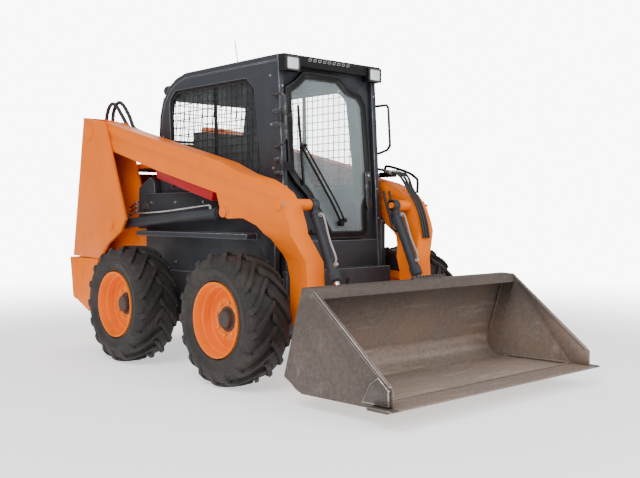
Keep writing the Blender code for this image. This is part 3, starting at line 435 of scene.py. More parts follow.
def rounded(outline, radius, steps=4):
    """An outline with its corners turned into arcs; a third number on a corner is its own radius."""
    corners = []
    count = len(outline)
    for i in range(count):
        corner = Vector(outline[i][:2])
        before, after = Vector(outline[i - 1][:2]), Vector(outline[(i + 1) % count][:2])
        one, two = (before - corner), (after - corner)
        own = outline[i][2] if len(outline[i]) > 2 else radius
        reach = min(own, one.length * 0.49, two.length * 0.49)
        start, end = corner + one.normalized() * reach, corner + two.normalized() * reach
        for k in range(steps + 1):
            t = k / steps
            corners.append(tuple(start * (1 - t) ** 2 + corner * 2 * t * (1 - t) + end * t**2))
    return corners


def set_off(outline, distance):
    """An outline moved inwards by a distance (outwards if it is negative)."""
    area = sum(a[0] * b[1] - b[0] * a[1] for a, b in zip(outline, outline[1:] + outline[:1]))
    turn = 1 if area > 0 else -1
    moved = []
    for i, corner in enumerate(outline):
        before, after = outline[i - 1], outline[(i + 1) % len(outline)]
        one = (Vector(corner[:2]) - Vector(before[:2])).normalized()
        two = (Vector(after[:2]) - Vector(corner[:2])).normalized()
        n1, n2 = Vector((-one.y, one.x)) * turn, Vector((-two.y, two.x)) * turn
        mid = n1 + n2
        moved.append(tuple(Vector(corner[:2]) + mid * (distance / max(0.4, 1 + n1.dot(n2)))))
    return moved


def frame_plate(bm, outer, inner, near, far):
    """A flat ring between two outlines with the same number of corners."""
    a, b = [near(*p) for p in outer], [near(*p) for p in inner]
    c, d = [far(*p) for p in inner], [far(*p) for p in outer]
    rows = [list(row) for row in zip(a, b, c, d)]
    loft(bm, rows + [rows[0]], capped=False)
    bmesh.ops.remove_doubles(bm, verts=bm.verts, dist=1e-6)


def moved_to_frame(bm):
    bmesh.ops.transform(bm, matrix=TO_FRAME, verts=bm.verts)


def drop(*objects):
    for obj in objects:
        bpy.data.objects.remove(obj)


def mesh_of(obj):
    """What the object's modifiers make of it, as a plain mesh of its own."""
    graph = bpy.context.evaluated_depsgraph_get()
    return bpy.data.meshes.new_from_object(obj.evaluated_get(graph), depsgraph=graph)


def plain(obj, angle=32):
    """Takes the modifiers' result as the object's own mesh, and shades it smooth between sharp edges."""
    mesh = mesh_of(obj)
    old = obj.data
    obj.modifiers.clear()
    obj.data = mesh
    bpy.data.meshes.remove(old)
    mesh.shade_smooth()
    mesh.set_sharp_from_angle(angle=math.radians(angle))
    return obj


def softened(obj, width, segments=2, edge=None, angle=28, clamped=True):
    """Rounds the edges over by width; the rounded strips take the finish `edge`, if there is one."""
    if edge:
        obj.data.materials.append(edge)
    bevel = obj.modifiers.new("soft edges", "BEVEL")
    bevel.width = width
    bevel.segments = segments
    bevel.limit_method = "ANGLE"
    bevel.angle_limit = math.radians(angle)
    bevel.use_clamp_overlap = clamped
    bevel.harden_normals = True
    bevel.miter_outer = "MITER_ARC"
    if edge:
        bevel.material = len(obj.data.materials) - 1
    return obj


def made(
    name, bm, body, finish, slot,
    soft=0.0, edge=None, segments=2, placed=False, angle=32, turn=True, clamped=True,
):
    """The bmesh as a finished piece that rides on a body."""
    if not placed:
        moved_to_frame(bm)
    if turn:
        bmesh.ops.recalc_face_normals(bm, faces=bm.faces)
    mesh = bpy.data.meshes.new(name)
    bm.to_mesh(mesh)
    bm.free()
    mesh.materials.append(finish)
    obj = bpy.data.objects.new(name, mesh)
    bpy.context.scene.collection.objects.link(obj)
    if soft:
        softened(obj, soft, segments, edge, clamped=clamped)
    plain(obj, angle)
    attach(obj, body)
    return obj


def body_of(node):
    return frame["nodes"][node]["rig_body"]


def skin_area(mesh):
    mesh.calc_loop_triangles()
    return sum(triangle.area for triangle in mesh.loop_triangles)


def whole_faces(node, flat):
    """A node's solid with its triangles joined into flat faces, or only as far as quads."""
    bm = bmesh.new()
    bm.from_mesh(frame["nodes"][node].data)
    bmesh.ops.remove_doubles(bm, verts=bm.verts, dist=2e-5)
    if flat:
        bmesh.ops.dissolve_limit(bm, angle_limit=math.radians(1.0), verts=bm.verts, edges=bm.edges)
    else:
        limits = {"angle_face_threshold": math.radians(1), "angle_shape_threshold": math.radians(180)}
        bmesh.ops.join_triangles(bm, faces=bm.faces, **limits)
    return bm


LEAST_CHANGE, MOST_CHANGE = 1e-4, 0.06  # a bevel that does nothing, or that closes a hole, shows in the area


def refined(node, finish, slot, edge=None, soft=0.004, segments=2):
    """A copy of a node's solid with its faces made whole, its edges softened and a finish of its own."""
    area = skin_area(frame["nodes"][node].data)
    name = f"{node}_shell"
    ways = ((True, True), (False, True), (True, False), (False, False))
    for flat, clamped in ways:
        kept = {"placed": True, "turn": False, "clamped": clamped}
        piece = made(name, whole_faces(node, flat), body_of(node), finish, slot, soft, edge, segments, **kept)
        change = abs(skin_area(piece.data) - area) / area
        if LEAST_CHANGE < change < MOST_CHANGE or (flat, clamped) == ways[-1]:
            break
        drop(piece)
    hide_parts(node)


# --- what repeats -------------------------------------------------------------------------------


def sockets_of(tree, **inputs):
    """Named inputs for a node tree, and its one geometry output."""
    tree.interface.new_socket("Geometry", in_out="OUTPUT", socket_type="NodeSocketGeometry")
    for name, kind in inputs.items():
        tree.interface.new_socket(name.replace("_", " "), in_out="INPUT", socket_type=kind)
    return tree.nodes.new("NodeGroupInput"), tree.nodes.new("NodeGroupOutput")


def closed_tree(tree, given, ended, geometry):
    """Every tree ends the same way: whole geometry, then its finish."""
    whole = linked(tree, "GeometryNodeRealizeInstances", {"Geometry": geometry}).outputs[0]
    last = linked(tree, "GeometryNodeSetMaterial", {"Geometry": whole, "Material": given.outputs["Finish"]})
    tree.links.new(last.outputs[0], ended.inputs[0])


def set_on_points(tree, given, ended, points, **more):
    """The part set on each point, as every tree of copies ends."""
    feeds = {"Object": given.outputs["Part"]}
    part = linked(tree, "GeometryNodeObjectInfo", feeds, transform_space="ORIGINAL")
    feeds = {"Points": points, "Instance": part.outputs["Geometry"], **more}
    closed_tree(tree, given, ended, linked(tree, "GeometryNodeInstanceOnPoints", feeds).outputs[0])


def make_round_tree():
    """Copies of a part turned about a line along y."""
    tree = bpy.data.node_groups.new("parts round an axle", "GeometryNodeTree")
    kinds = {"Part": "NodeSocketObject", "Count": "NodeSocketInt", "Centre": "NodeSocketVector"}
    kinds |= {"First_turn": "NodeSocketFloat", "Finish": "NodeSocketMaterial"}
    given, ended = sockets_of(tree, **kinds)
    step = linked(tree, "ShaderNodeMath", {0: math.tau, 1: given.outputs["Count"]}, operation="DIVIDE")
    index = linked(tree, "GeometryNodeInputIndex")
    feeds = {0: index.outputs[0], 1: step.outputs[0], 2: given.outputs["First turn"]}
    angle = linked(tree, "ShaderNodeMath", feeds, operation="MULTIPLY_ADD")
    turn = linked(tree, "ShaderNodeCombineXYZ", {1: angle.outputs[0]})
    feeds = {"Count": given.outputs["Count"], "Position": given.outputs["Centre"]}
    centres = linked(tree, "GeometryNodePoints", feeds)
    set_on_points(tree, given, ended, centres.outputs[0], Rotation=turn.outputs[0])
    return tree


def make_row_tree():
    """Copies of a part in a straight row."""
    tree = bpy.data.node_groups.new("parts in a row", "GeometryNodeTree")
    kinds = {"Part": "NodeSocketObject", "Count": "NodeSocketInt", "Start": "NodeSocketVector"}
    kinds |= {"Step": "NodeSocketVector", "Finish": "NodeSocketMaterial"}
    given, ended = sockets_of(tree, **kinds)
    feeds = {"Count": given.outputs["Count"], "Start Location": given.outputs["Start"]}
    feeds["Offset"] = given.outputs["Step"]
    line = linked(tree, "GeometryNodeMeshLine", feeds, mode="OFFSET")
    set_on_points(tree, given, ended, line.outputs[0])
    return tree


def make_scatter_tree():
    """A part on each corner of the mesh that holds the modifier."""
    tree = bpy.data.node_groups.new("parts on marked places", "GeometryNodeTree")
    tree.interface.new_socket("Places", in_out="INPUT", socket_type="NodeSocketGeometry")
    kinds = {"Part": "NodeSocketObject", "Turn": "NodeSocketVector", "Finish": "NodeSocketMaterial"}
    given, ended = sockets_of(tree, **kinds)
    set_on_points(tree, given, ended, given.outputs["Places"], Rotation=given.outputs["Turn"])
    return tree


def make_wire_tree():
    """A round wire along each run of edges."""
    tree = bpy.data.node_groups.new("wires along edges", "GeometryNodeTree")
    tree.interface.new_socket("Runs", in_out="INPUT", socket_type="NodeSocketGeometry")
    kinds = {"Radius": "NodeSocketFloat", "Sides": "NodeSocketInt", "Finish": "NodeSocketMaterial"}
    given, ended = sockets_of(tree, **kinds)
    runs = linked(tree, "GeometryNodeMeshToCurve", {"Mesh": given.outputs["Runs"]})
    feeds = {"Resolution": given.outputs["Sides"], "Radius": given.outputs["Radius"]}
    section = linked(tree, "GeometryNodeCurvePrimitiveCircle", feeds)
    feeds = {"Curve": runs.outputs[0], "Profile Curve": section.outputs[0], "Fill Caps": True}
    closed_tree(tree, given, ended, linked(tree, "GeometryNodeCurveToMesh", feeds).outputs[0])
    return tree


ROUND, ROW, SCATTER, WIRES = make_round_tree(), make_row_tree(), make_scatter_tree(), make_wire_tree()


def grown(name, tree, body, slot, places=None, **values):
    """What a node tree grows, as a finished piece that rides on a body."""
    mesh = bpy.data.meshes.new(name)
    if places:
        mesh.from_pydata(*places)
    obj = bpy.data.objects.new(name, mesh)
    bpy.context.scene.collection.objects.link(obj)
    modifier = obj.modifiers.new("grown", "NODES")
    modifier.node_group = tree
    keys = {item.name: item.identifier for item in tree.interface.items_tree if item.in_out == "INPUT"}
    for key, value in values.items():
        modifier[keys[key.replace("_", " ")]] = value
    plain(obj)
    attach(obj, body)
    return obj


def pattern(name, bm, soft=0.0):
    """A part to be repeated. It is dropped once it has been used."""
    bmesh.ops.recalc_face_normals(bm, faces=bm.faces)
    mesh = bpy.data.meshes.new(name)
    bm.to_mesh(mesh)
    bm.free()
    obj = bpy.data.objects.new(name, mesh)
    bpy.context.scene.collection.objects.link(obj)
    if soft:
        softened(obj, soft, 1)
    return plain(obj)


def repeated(name, tree, part, body, slot, finish, places=None, **values):
    """Copies of a part as one finished piece. The part itself is then dropped."""
    grown(name, tree, body, slot, places, Part=part, Finish=finish, **values)
    drop(part)


def at(x, y, z):
    return TO_FRAME @ Vector((x, y, z))


# --- wheels -------------------------------------------------------------------------------------

LUGS = 17
NUTS = 8
RIM_DISC_DEPTH = 0.110  # from the tyre's outer face in to the rim's disc
LUG_DEPTH = 0.026
LUG_SWEEP = math.radians(24)
TREAD_RADIUS = TYRE_RADIUS - LUG_DEPTH


def lug(side):
    """One bar of the tread: from just over the middle out to the shoulder, and a step down the sidewall."""
    bm = bmesh.new()
    half = TYRE_HALF
    # out from the middle, fall from the crown, width at the foot, share of the sweep, depth
    stations = [
        (-0.016, 0.0, 0.046, -0.10, LUG_DEPTH),
        (0.020, 0.0, 0.050, 0.10, LUG_DEPTH),
        (0.060, -0.001, 0.054, 0.40, LUG_DEPTH),
        (0.098, -0.004, 0.058, 0.72, LUG_DEPTH),
        (0.126, -0.010, 0.062, 0.92, 0.028),
        (0.143, -0.024, 0.060, 1.0, 0.024),
        (half - 0.004, -0.050, 0.054, 1.02, 0.017),
        (half - 0.001, -0.078, 0.044, 1.02, 0.006),
    ]
    rings = []
    for y, fall, width, swept, depth in stations:
        top = TYRE_RADIUS + fall
        ring = []
        outward = y > 0.135
        foot_y = y - depth if outward else y
        foot = top if outward else top - depth - 0.006
        corners = ((-0.5, foot, foot_y), (-0.36, top, y), (0.36, top, y), (0.5, foot, foot_y))
        for share, radius, away in corners:
            angle = LUG_SWEEP * swept + share * width / TYRE_RADIUS
            ring.append((radius * math.sin(angle), side * away, radius * math.cos(angle)))
        rings.append(ring)
    loft(bm, rings)
    return bm


def tyre_profile():
    """The carcass: bead, flange guard, bulging sidewall, shoulder and crown, then the same back again."""
    h = TYRE_HALF
    half = [
        (h - 0.052, RIM_RADIUS + 0.001),
        (h - 0.026, RIM_RADIUS + 0.002),
        (h - 0.016, RIM_RADIUS + 0.010),
        (h - 0.013, RIM_RADIUS + 0.022),
        (h - 0.016, RIM_RADIUS + 0.028),
        (h - 0.010, RIM_RADIUS + 0.045),
        (h - 0.004, RIM_RADIUS + 0.068),
        (h - 0.0015, RIM_RADIUS + 0.084),
        (h - 0.0045, RIM_RADIUS + 0.088),
        (h - 0.0035, RIM_RADIUS + 0.098),
        (h - 0.006, TYRE_RADIUS - 0.070),
        (h - 0.014, TYRE_RADIUS - 0.047),
        (h - 0.028, TYRE_RADIUS - 0.035),
        (h - 0.060, TREAD_RADIUS - 0.003),
        (h - 0.110, TREAD_RADIUS),
    ]
    inner = [(0.06, RIM_RADIUS - 0.002), (-0.06, RIM_RADIUS - 0.002)]
    return [*half, *((-y, r) for y, r in reversed(half)), *reversed(inner)]


def rim_profile():
    """A deep welded rim: outer flange, drop centre, disc with its step, and the hub's hole."""
    h, r = TYRE_HALF, RIM_RADIUS
    face = [
        (h - 0.012, r - 0.001),
        (h - 0.009, r - 0.006),
        (h - 0.012, r - 0.013),
        (h - 0.030, r - 0.019),
        (h - 0.062, r - 0.021),
        (h - 0.068, r - 0.036),
        (h - 0.118, r - 0.040),
        (h - 0.126, r - 0.050),
        (h - 0.122, r - 0.078),
        (h - RIM_DISC_DEPTH, r - 0.098),
        (h - 0.106, r - 0.120),
        (h - RIM_DISC_DEPTH, r - 0.128),
        (h - RIM_DISC_DEPTH, 0.050),
        (h - 0.122, 0.048),
    ]
    back = [(0.16, 0.048), (0.16, r - 0.07), (0.02, r - 0.05), (0.012, r - 0.02), (0.012, r)]
    return [*face, *((y - h, radius) for y, radius in back)]


def make_wheel(axle, side_name, side):
    body = f"wheel_{axle}_{side_name}"
    centre = Vector((WHEELBASE if axle == "front" else 0.0, side * TYRE_Y, TYRE_RADIUS))
    name = f"{axle}_{side_name}"
    out = (0, side, 0)
    bm = bmesh.new()
    lathe_ring(bm, centre, out, tyre_profile(), 96)
    carcass = made(f"tyre_carcass_{name}", bm, body, RUBBER, "tyre_rubber", angle=50)
    half_pitch = math.pi / LUGS
    for half, first in ((1, 0.0), (-1, half_pitch)):
        bar = pattern(f"lug_{name}_{half}", lug(half), 0.004)
        where = f"tyre_lugs_{'outer' if half == side else 'inner'}_{name}"
        feeds = {"Count": LUGS, "Centre": at(*centre), "First_turn": first}
        repeated(where, ROUND, bar, body, "tyre_rubber", RUBBER, **feeds)
    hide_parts(f"tyre_{name}")
    bm = bmesh.new()
    lathe_ring(bm, centre, out, rim_profile(), 96)
    rim = made(f"wheel_rim_{name}", bm, body, ORANGE, "orange_paint", angle=40)
    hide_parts(f"rim_{name}")
    face = TYRE_HALF - RIM_DISC_DEPTH
    bm = bmesh.new()
    start = centre + Vector((0, side * (face - 0.05), 0))
    hub = [(0, 0.078), (0.052, 0.078), (0.056, 0.074), (0.056, 0.060), (0.082, 0.055), (0.088, 0.046)]
    hub.append((0.090, 0.0005))
    turned(bm, start, out, hub, 40)
    made(f"hub_cap_{name}", bm, body, CAST, "black_paint", angle=30)
    bm = bmesh.new()
    nut = [(0, 0.0135), (0.003, 0.0135), (0.003, 0.0105), (0.014, 0.0105), (0.016, 0.008), (0.016, 0.0002)]
    turned(bm, (0.103, side * (face - 0.001), 0), out, nut, 6)
    nut = pattern(f"nut_{name}", bm)
    feeds = {"Count": NUTS, "Centre": at(*centre), "First_turn": 0.2}
    repeated(f"wheel_nuts_{name}", ROUND, nut, body, "orange_paint", ORANGE_EDGE_WEAR_AND_HIGHLIGHT, **feeds)
    bm = bmesh.new()
    valve = centre + Vector((0.166, side * (TYRE_HALF - 0.085), 0.05))
    rod(bm, valve, valve + Vector((0.0, side * 0.035, 0)), 0.005, 10)
    made(f"valve_stem_{name}", bm, body, HOSE, "tyre_rubber")


for axle in AXLES:
    for side_name, side in SIDES:
        make_wheel(axle, side_name, side)

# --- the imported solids, softened and painted ------------------------------------------------------

SOFT = {
    (ORANGE, "orange_paint", ORANGE_EDGE_WEAR_AND_HIGHLIGHT, 0.005): [
        "lift_arm", "tower", "engine_hood", "rear_door", "rear_bumper",
    ],
    (SLATE, "slate_paint", SLATE_EDGE_WEAR_AND_HIGHLIGHT, 0.005): [
        "main_frame", "side_panel", "cab_front", "cab_side", "cab_floor",
    ],
    (SLATE, "slate_paint", SLATE_EDGE_WEAR_AND_HIGHLIGHT, 0.007): ["cab_roof", "engine"],
    (BLACK, "black_paint", BLACK_EDGE_WEAR_AND_HIGHLIGHT, 0.003): ["light_visor", "door_frame", "grab_handle", "control_levers"],
    (ORANGE, "orange_paint", ORANGE_EDGE_WEAR_AND_HIGHLIGHT, 0.003): ["arm_cross_tube", "coupler"],
    (RED, "red_paint", RED, 0.004): ["arm_support"],
    (SLATE, "slate_paint", SLATE_EDGE_WEAR_AND_HIGHLIGHT, 0.003): ["lift_barrel", "tilt_barrel", "axle"],
    (CHROME, "chrome_rod", CHROME, 0.001): ["lift_rod", "tilt_rod"],
    (STEEL, "worn_steel", STEEL_EDGE, 0.002): ["bucket_shell", "cutting_edge"],
    (VINYL, "seat_vinyl", VINYL, 0.02): ["seat"],
    (GLASS, "tinted_glass", GLASS, 0.0): ["door_glass"],
    (SIDE_GLASS, "tinted_glass", SIDE_GLASS, 0.0): ["side_window", "rear_window"],
    (BLACK, "black_paint", BLACK_EDGE_WEAR_AND_HIGHLIGHT, 0.0): ["side_screen", "antenna", "aux_lines", "arm_hoses"],
}
PAIRED = ("_right", "_left", "_front_right", "_front_left", "_rear_right", "_rear_left")
for (finish, slot, edge, soft), stems in SOFT.items():
    for node, obj in frame["nodes"].items():
        if node not in stems and not any(node == stem + end for stem in stems for end in PAIRED):
            continue
        if soft:
            refined(node, finish, slot, edge, soft)
        else:
            obj.data.materials.clear()
            obj.data.materials.append(finish)

# --- cab ------------------------------------------------------------------------------------------

SIDE_WINDOW = [(0.05, 1.945), (0.90, 1.94), (0.985, 1.865), (1.07, 1.24), (0.0, 1.24), (-0.03, 1.88)]
DOOR_FOOT = 0.885
DOOR = [
    (-0.385, 1.855), (-0.31, 1.895), (-0.225, 1.968), (0.085, 1.968), (0.17, 1.895),
    (0.285, 1.868), (0.335, 1.79), (0.36, 1.18), (0.305, 1.10), (0.305, DOOR_FOOT + 0.04),
    (0.265, DOOR_FOOT), (-0.055, DOOR_FOOT), (-0.235, 1.165), (-0.33, 1.25), (-0.385, 1.32),
]
REAR_GLASS_X = (-0.160, -0.100)
REAR_GLASS_HALF = 0.355
REAR_GLASS_Z = (1.58, 1.92)
MESH_PITCH, WIRE_RADIUS = 0.056, 0.0032
MESH_Y = 0.417


def crossings(outline, axis, value):
    """Where a line of constant u (axis 0) or v (axis 1) enters and leaves an outline, in order."""
    other = 1 - axis
    found = []
    for a, b in zip(outline, outline[1:] + outline[:1]):
        if (a[axis] - value) * (b[axis] - value) < 0:
            share = (value - a[axis]) / (b[axis] - a[axis])
            found.append(a[other] + (b[other] - a[other]) * share)
    return sorted(found)


def mesh_runs(outline, place):
    """The wires of a square mesh, as runs of two points cut off by the outline."""
    points, runs = [], []
    for axis in (0, 1):
        low, high = min(p[axis] for p in outline), max(p[axis] for p in outline)
        count = round((high - low) / MESH_PITCH)
        for i in range(1, count):
            value = low + (high - low) * i / count
            ends = crossings(outline, axis, value)
            for start, end in zip(ends[::2], ends[1::2]):
                corners = ((value, start), (value, end)) if axis == 0 else ((start, value), (end, value))
                runs.append((len(points), len(points) + 1))
                points += [at(*place(u, v, axis)) for u, v in corners]
    return points, runs, []


def screen(name, outline, place, near, far, node=None):
    """A wire mesh cut to a window's outline, with a thin rim round it."""
    ring = rounded(outline, 0.05, 5)
    feeds = {"Radius": WIRE_RADIUS, "Sides": 6, "Finish": WIRE}
    wires = grown(f"{name}_wires", WIRES, "chassis", "black_paint", mesh_runs(ring, place), **feeds)
    bm = bmesh.new()
    frame_plate(bm, ring, set_off(ring, 0.020), near, far)
    made(f"{name}_rim", bm, "chassis", BLACK, "black_paint", 0.002, BLACK_EDGE_WEAR_AND_HIGHLIGHT, 1)
    if node:
        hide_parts(node)


def rear_glass_x(z):
    """The rear pane's outer face at height z."""
    (foot, head), (low, high) = REAR_GLASS_X, REAR_GLASS_Z
    return foot + (head - foot) * (z - low) / (high - low)


def make_screens():
    for side_name, side in SIDES:
        screen(
            f"side_mesh_{side_name}", SIDE_WINDOW,
            lambda x, z, layer, side=side: (x, side * (MESH_Y + 0.004 * layer), z),
            lambda x, z, side=side: (x, side * (MESH_Y - 0.005), z),
            lambda x, z, side=side: (x, side * (MESH_Y + 0.006), z),
            f"side_screen_{side_name}",
        )
        bm = bmesh.new()
        y0, y1 = side * 0.4055, side * 0.4105
        side_plate(bm, [(0.515, 1.235), (0.555, 1.235), (0.535, 1.945), (0.495, 1.945)], y0, y1)
        made(f"window_mullion_{side_name}", bm, "chassis", BLACK, "black_paint", 0.0015, BLACK_EDGE_WEAR_AND_HIGHLIGHT, 1)
    half, (low, high) = REAR_GLASS_HALF - 0.004, REAR_GLASS_Z
    outline = [(-half, low + 0.004), (half, low + 0.004), (half, high - 0.004), (-half, high - 0.004)]
    screen(
        "rear_mesh", outline,
        lambda y, z, layer: (rear_glass_x(z) - 0.006 - 0.003 * layer, y, z),
        lambda y, z: (rear_glass_x(z) - 0.011, y, z),
        lambda y, z: (rear_glass_x(z) - 0.003, y, z),
    )


def on_front(y, z, proud):
    return Vector((front_x(z) + proud, y, z))


def seal_strip(bm, ring, width, back, front):
    frame_plate(
        bm, ring, set_off(ring, width),
        lambda y, z: on_front(y, z, back),
        lambda y, z: on_front(y, z, front),
    )


def make_door_details():
    """The seals round the door and its glass, and the latch."""
    bm = bmesh.new()
    ring = rounded(DOOR, 0.022, 3)
    seal_strip(bm, ring, 0.010, -0.004, 0.0035)
    seal_strip(bm, set_off(ring, 0.040), 0.009, -0.008, 0.002)
    made("door_seal", bm, "front_door", SEAL, "black_paint", 0.0015, None, 1)
    # the latch: a long moulded grip on the door's left side
    bm = bmesh.new()
    grip = rounded([(0.284, 1.335), (0.338, 1.335), (0.342, 1.10), (0.300, 1.07), (0.284, 1.12)], 0.016)
    front_plate(bm, grip, 0.0005, 0.020)
    made("door_latch", bm, "front_door", PLASTIC, "black_paint", 0.004, BLACK_EDGE_WEAR_AND_HIGHLIGHT, 3)
    bm = bmesh.new()
    front_plate(bm, rounded([(0.294, 1.28), (0.329, 1.28), (0.331, 1.15), (0.298, 1.15)], 0.01), 0.018, 0.026)
    made("latch_paddle", bm, "front_door", BLACK, "black_paint", 0.003, BLACK_EDGE_WEAR_AND_HIGHLIGHT, 2)
    bm = bmesh.new()
    lock = [(0, 0.009), (0.005, 0.009), (0.006, 0.007), (0.006, 0.0003)]
    turned(bm, on_front(0.312, 1.31, 0.018), (1, 0, 0), lock, 16)
    made("latch_lock", bm, "front_door", ZINC, "black_paint")


WIPER_MOTOR = (0.03, 0.985)
WIPER_TIP = (-0.285, 1.47)


def make_wiper():
    """Two arms side by side, from the spindle at the door's foot up to the blade's carrier."""
    base, tip = Vector(WIPER_MOTOR), Vector(WIPER_TIP)
    aside = Vector((0.030, 0.021))
    bm = bmesh.new()
    for shift, radius in ((Vector((0, 0)), 0.008), (aside, 0.006)):
        start, end = base + shift, tip + shift * 0.8
        run = [on_front(*start, 0.030), on_front(*start.lerp(end, 0.3), 0.040), on_front(*end, 0.028)]
        hose(bm, run, radius, 8, 4)
    for place, wide in ((base, 0.020), (base + aside, 0.014), (tip, 0.010), (tip + aside * 0.8, 0.009)):
        rod(bm, on_front(*place, 0.006), on_front(*place, 0.044), wide, 16, 0.003)
    carrier = [(-0.296, 1.46), (-0.274, 1.46), (-0.250, 1.49), (-0.262, 1.50), (-0.296, 1.485)]
    front_plate(bm, carrier, 0.022, 0.032)
    made("wiper_arms", bm, "front_door", BLACK, "black_paint", angle=40)
    bm = bmesh.new()
    blade = [(-0.300, 1.745), (-0.292, 1.748), (-0.278, 1.475), (-0.268, 1.235), (-0.280, 1.232)]
    blade.append((-0.292, 1.475))
    front_plate(bm, blade, 0.010, 0.024)
    squeegee = [(-0.297, 1.74), (-0.293, 1.74), (-0.273, 1.24), (-0.277, 1.24)]
    front_plate(bm, squeegee, 0.001, 0.012)
    made("wiper_blade", bm, "front_door", SEAL, "hose_rubber", 0.002, None, 1)


LAMP_Y = (0.305, 0.432)
LAMP_Z = (1.952, 2.046)
VISOR_FRONT = front_x(ROOF_TOP) + 0.071


def make_lamps():
    for side_name, side in SIDES:
        y0, y1 = (side * y for y in LAMP_Y)
        centre_y, centre_z = (y0 + y1) / 2, sum(LAMP_Z) / 2
        half_y, half_z = 0.046, 0.036
        box = [(-half_y, -half_z), (half_y, -half_z), (half_y, half_z), (-half_y, half_z)]
        lens = rounded([(centre_y + u, centre_z + v) for u, v in box], 0.010)
        back, front = VISOR_FRONT - 0.030, VISOR_FRONT + 0.001
        bm = bmesh.new()
        plate(bm, lens, lambda y, z: (back, y, z), lambda y, z: (front, y, z))
        made(f"lamp_lens_{side_name}", bm, "chassis", LENS, "tinted_glass", 0.004, None, 2)
        bm = bmesh.new()
        rim = set_off(lens, -0.011)
        frame_plate(bm, rim, lens, lambda y, z: (back, y, z), lambda y, z: (front + 0.003, y, z))
        made(f"lamp_bezel_{side_name}", bm, "chassis", PLASTIC, "black_paint", 0.002, BLACK_EDGE_WEAR_AND_HIGHLIGHT, 1)


def make_visor_slots():
    """The row of bright slot rims along the visor's upper edge."""
    bm = bmesh.new()
    slot = rounded([(-0.016, -0.009), (0.009, -0.009), (0.016, 0.009), (-0.009, 0.009)], 0.007)
    back, front = VISOR_FRONT - 0.017, VISOR_FRONT - 0.011
    frame_plate(bm, slot, set_off(slot, 0.0032), lambda y, z: (back, y, z), lambda y, z: (front, y, z))
    feeds = {"Count": 9, "Start": at(0, -0.215, 2.036), "Step": (0, 0.042, 0)}
    repeated("visor_slots", ROW, pattern("slot_rim", bm), "chassis", "slate_paint", ZINC, **feeds)


def bolt_pattern(radius):
    """A flanged hexagon head, standing along z."""
    bm = bmesh.new()
    turned(bm, (0, 0, -0.001), (0, 0, 1), [(0, radius * 1.5), (radius * 0.35, radius * 1.45)], 18)
    head = [(0, radius), (radius * 1.05, radius), (radius * 1.2, radius * 0.82)]
    turned(bm, (0, 0, radius * 0.25), (0, 0, 1), head, 6)
    return pattern("bolt_head", bm)


OUT_TURNS = {"right": (math.pi / 2, 0, 0), "left": (-math.pi / 2, 0, 0), "front": (0, math.pi / 2, 0)}
OUT_TURNS |= {"rear": (0, -math.pi / 2, 0), "up": (0, 0, 0)}


def bolts(name, places, way, radius, body, finish, slot):
    """Bolt heads at places drawn from the rear axle, facing one way."""
    marks = ([at(*p) for p in places], [], [])
    repeated(name, SCATTER, bolt_pattern(radius), body, slot, finish, marks, Turn=OUT_TURNS[way])


def make_cab_bolts():
    for side_name, side in SIDES:
        y = side * (CAB_HALF - 0.001)
        front_spots = [(1.16, 1.93), (1.17, 1.62), (1.19, 1.34), (1.13, 1.13)]
        rear_spots = [(-0.10, 1.90), (-0.11, 1.62), (-0.11, 1.42)]
        places = [(x, y, z) for x, z in front_spots + rear_spots]
        bolts(f"cab_bolts_{side_name}", places, side_name, 0.006, "chassis", ZINC, "slate_paint")
    spots = [on_front(y, z, 0.0) for y in (-0.41, 0.41) for z in (1.02, 1.22, 1.86)]
    bolts("post_bolts", spots, "front", 0.005, "chassis", ZINC, "slate_paint")


make_screens()
make_door_details()
make_wiper()
make_lamps()
make_visor_slots()
make_cab_bolts()

# --- arms and hydraulics ----------------------------------------------------------------------------

LIFT_BASE, LIFT_EYE = Vector((-0.488, 0, 0.969)), Vector((0.933, 0, 1.062))
TILT_BASE, TILT_EYE = Vector((1.485, 0, 1.105)), Vector((1.765, 0, 0.50))
LIFT_Y, TILT_Y = 0.57, 0.365
LIFT_BARREL, LIFT_BORE = 1.27, 0.036
TILT_BARREL, TILT_BORE = 0.50, 0.0325
ARM_OUTER = 0.64
UPPER_HOSE_Y = -0.444


def along(start, end, distance, y, up=0.0):
    """A place a distance along a cylinder and so far above its centre line."""
    way = (end - start).normalized()
    lift = Vector((-way.z, 0, way.x)) * up
    place = start + way * distance + lift
    return Vector((place.x, y, place.z))


def make_cylinder_details(kind, body, base, eye, y_away, length, bore):
    """The barrel's gland and ports, and the hard line that runs along it."""
    for side_name, side in SIDES:
        y = side * y_away
        bm = bmesh.new()
        collar, lip = (length - 0.055, length + 0.004, bore + 0.006), (length, length + 0.012, bore * 0.86)
        for start, end, radius in (collar, lip):
            rod(bm, along(base, eye, start, y), along(base, eye, end, y), radius, 28, 0.003)
        rod(bm, along(base, eye, 0.052, y), along(base, eye, 0.075, y), bore + 0.0035, 28, 0.002)
        made(f"{kind}_gland_{side_name}", bm, body, SLATE, "slate_paint", angle=35)
        bm = bmesh.new()
        run = [(0.085, 0.0), (0.085, bore + 0.018), (0.12, bore + 0.030), (length * 0.5, bore + 0.020)]
        run += [(length - 0.14, bore + 0.026), (length - 0.10, bore + 0.016), (length - 0.085, 0.0)]
        hose(bm, [along(base, eye, d, y, up) for d, up in run], 0.0065, 10, 5)
        made(f"{kind}_hard_line_{side_name}", bm, body, ZINC, "worn_steel")
        bm = bmesh.new()
        port = [(0, 0.015), (0.014, 0.015), (0.016, 0.012), (0.026, 0.012), (0.028, 0.008)]
        for d in (0.085, length - 0.085):
            up = along(base, eye, d, y, 1) - along(base, eye, d, y, 0)
            turned(bm, along(base, eye, d, y, bore - 0.006), up, port, 6)
        made(f"{kind}_ports_{side_name}", bm, body, ZINC, "worn_steel", angle=25)


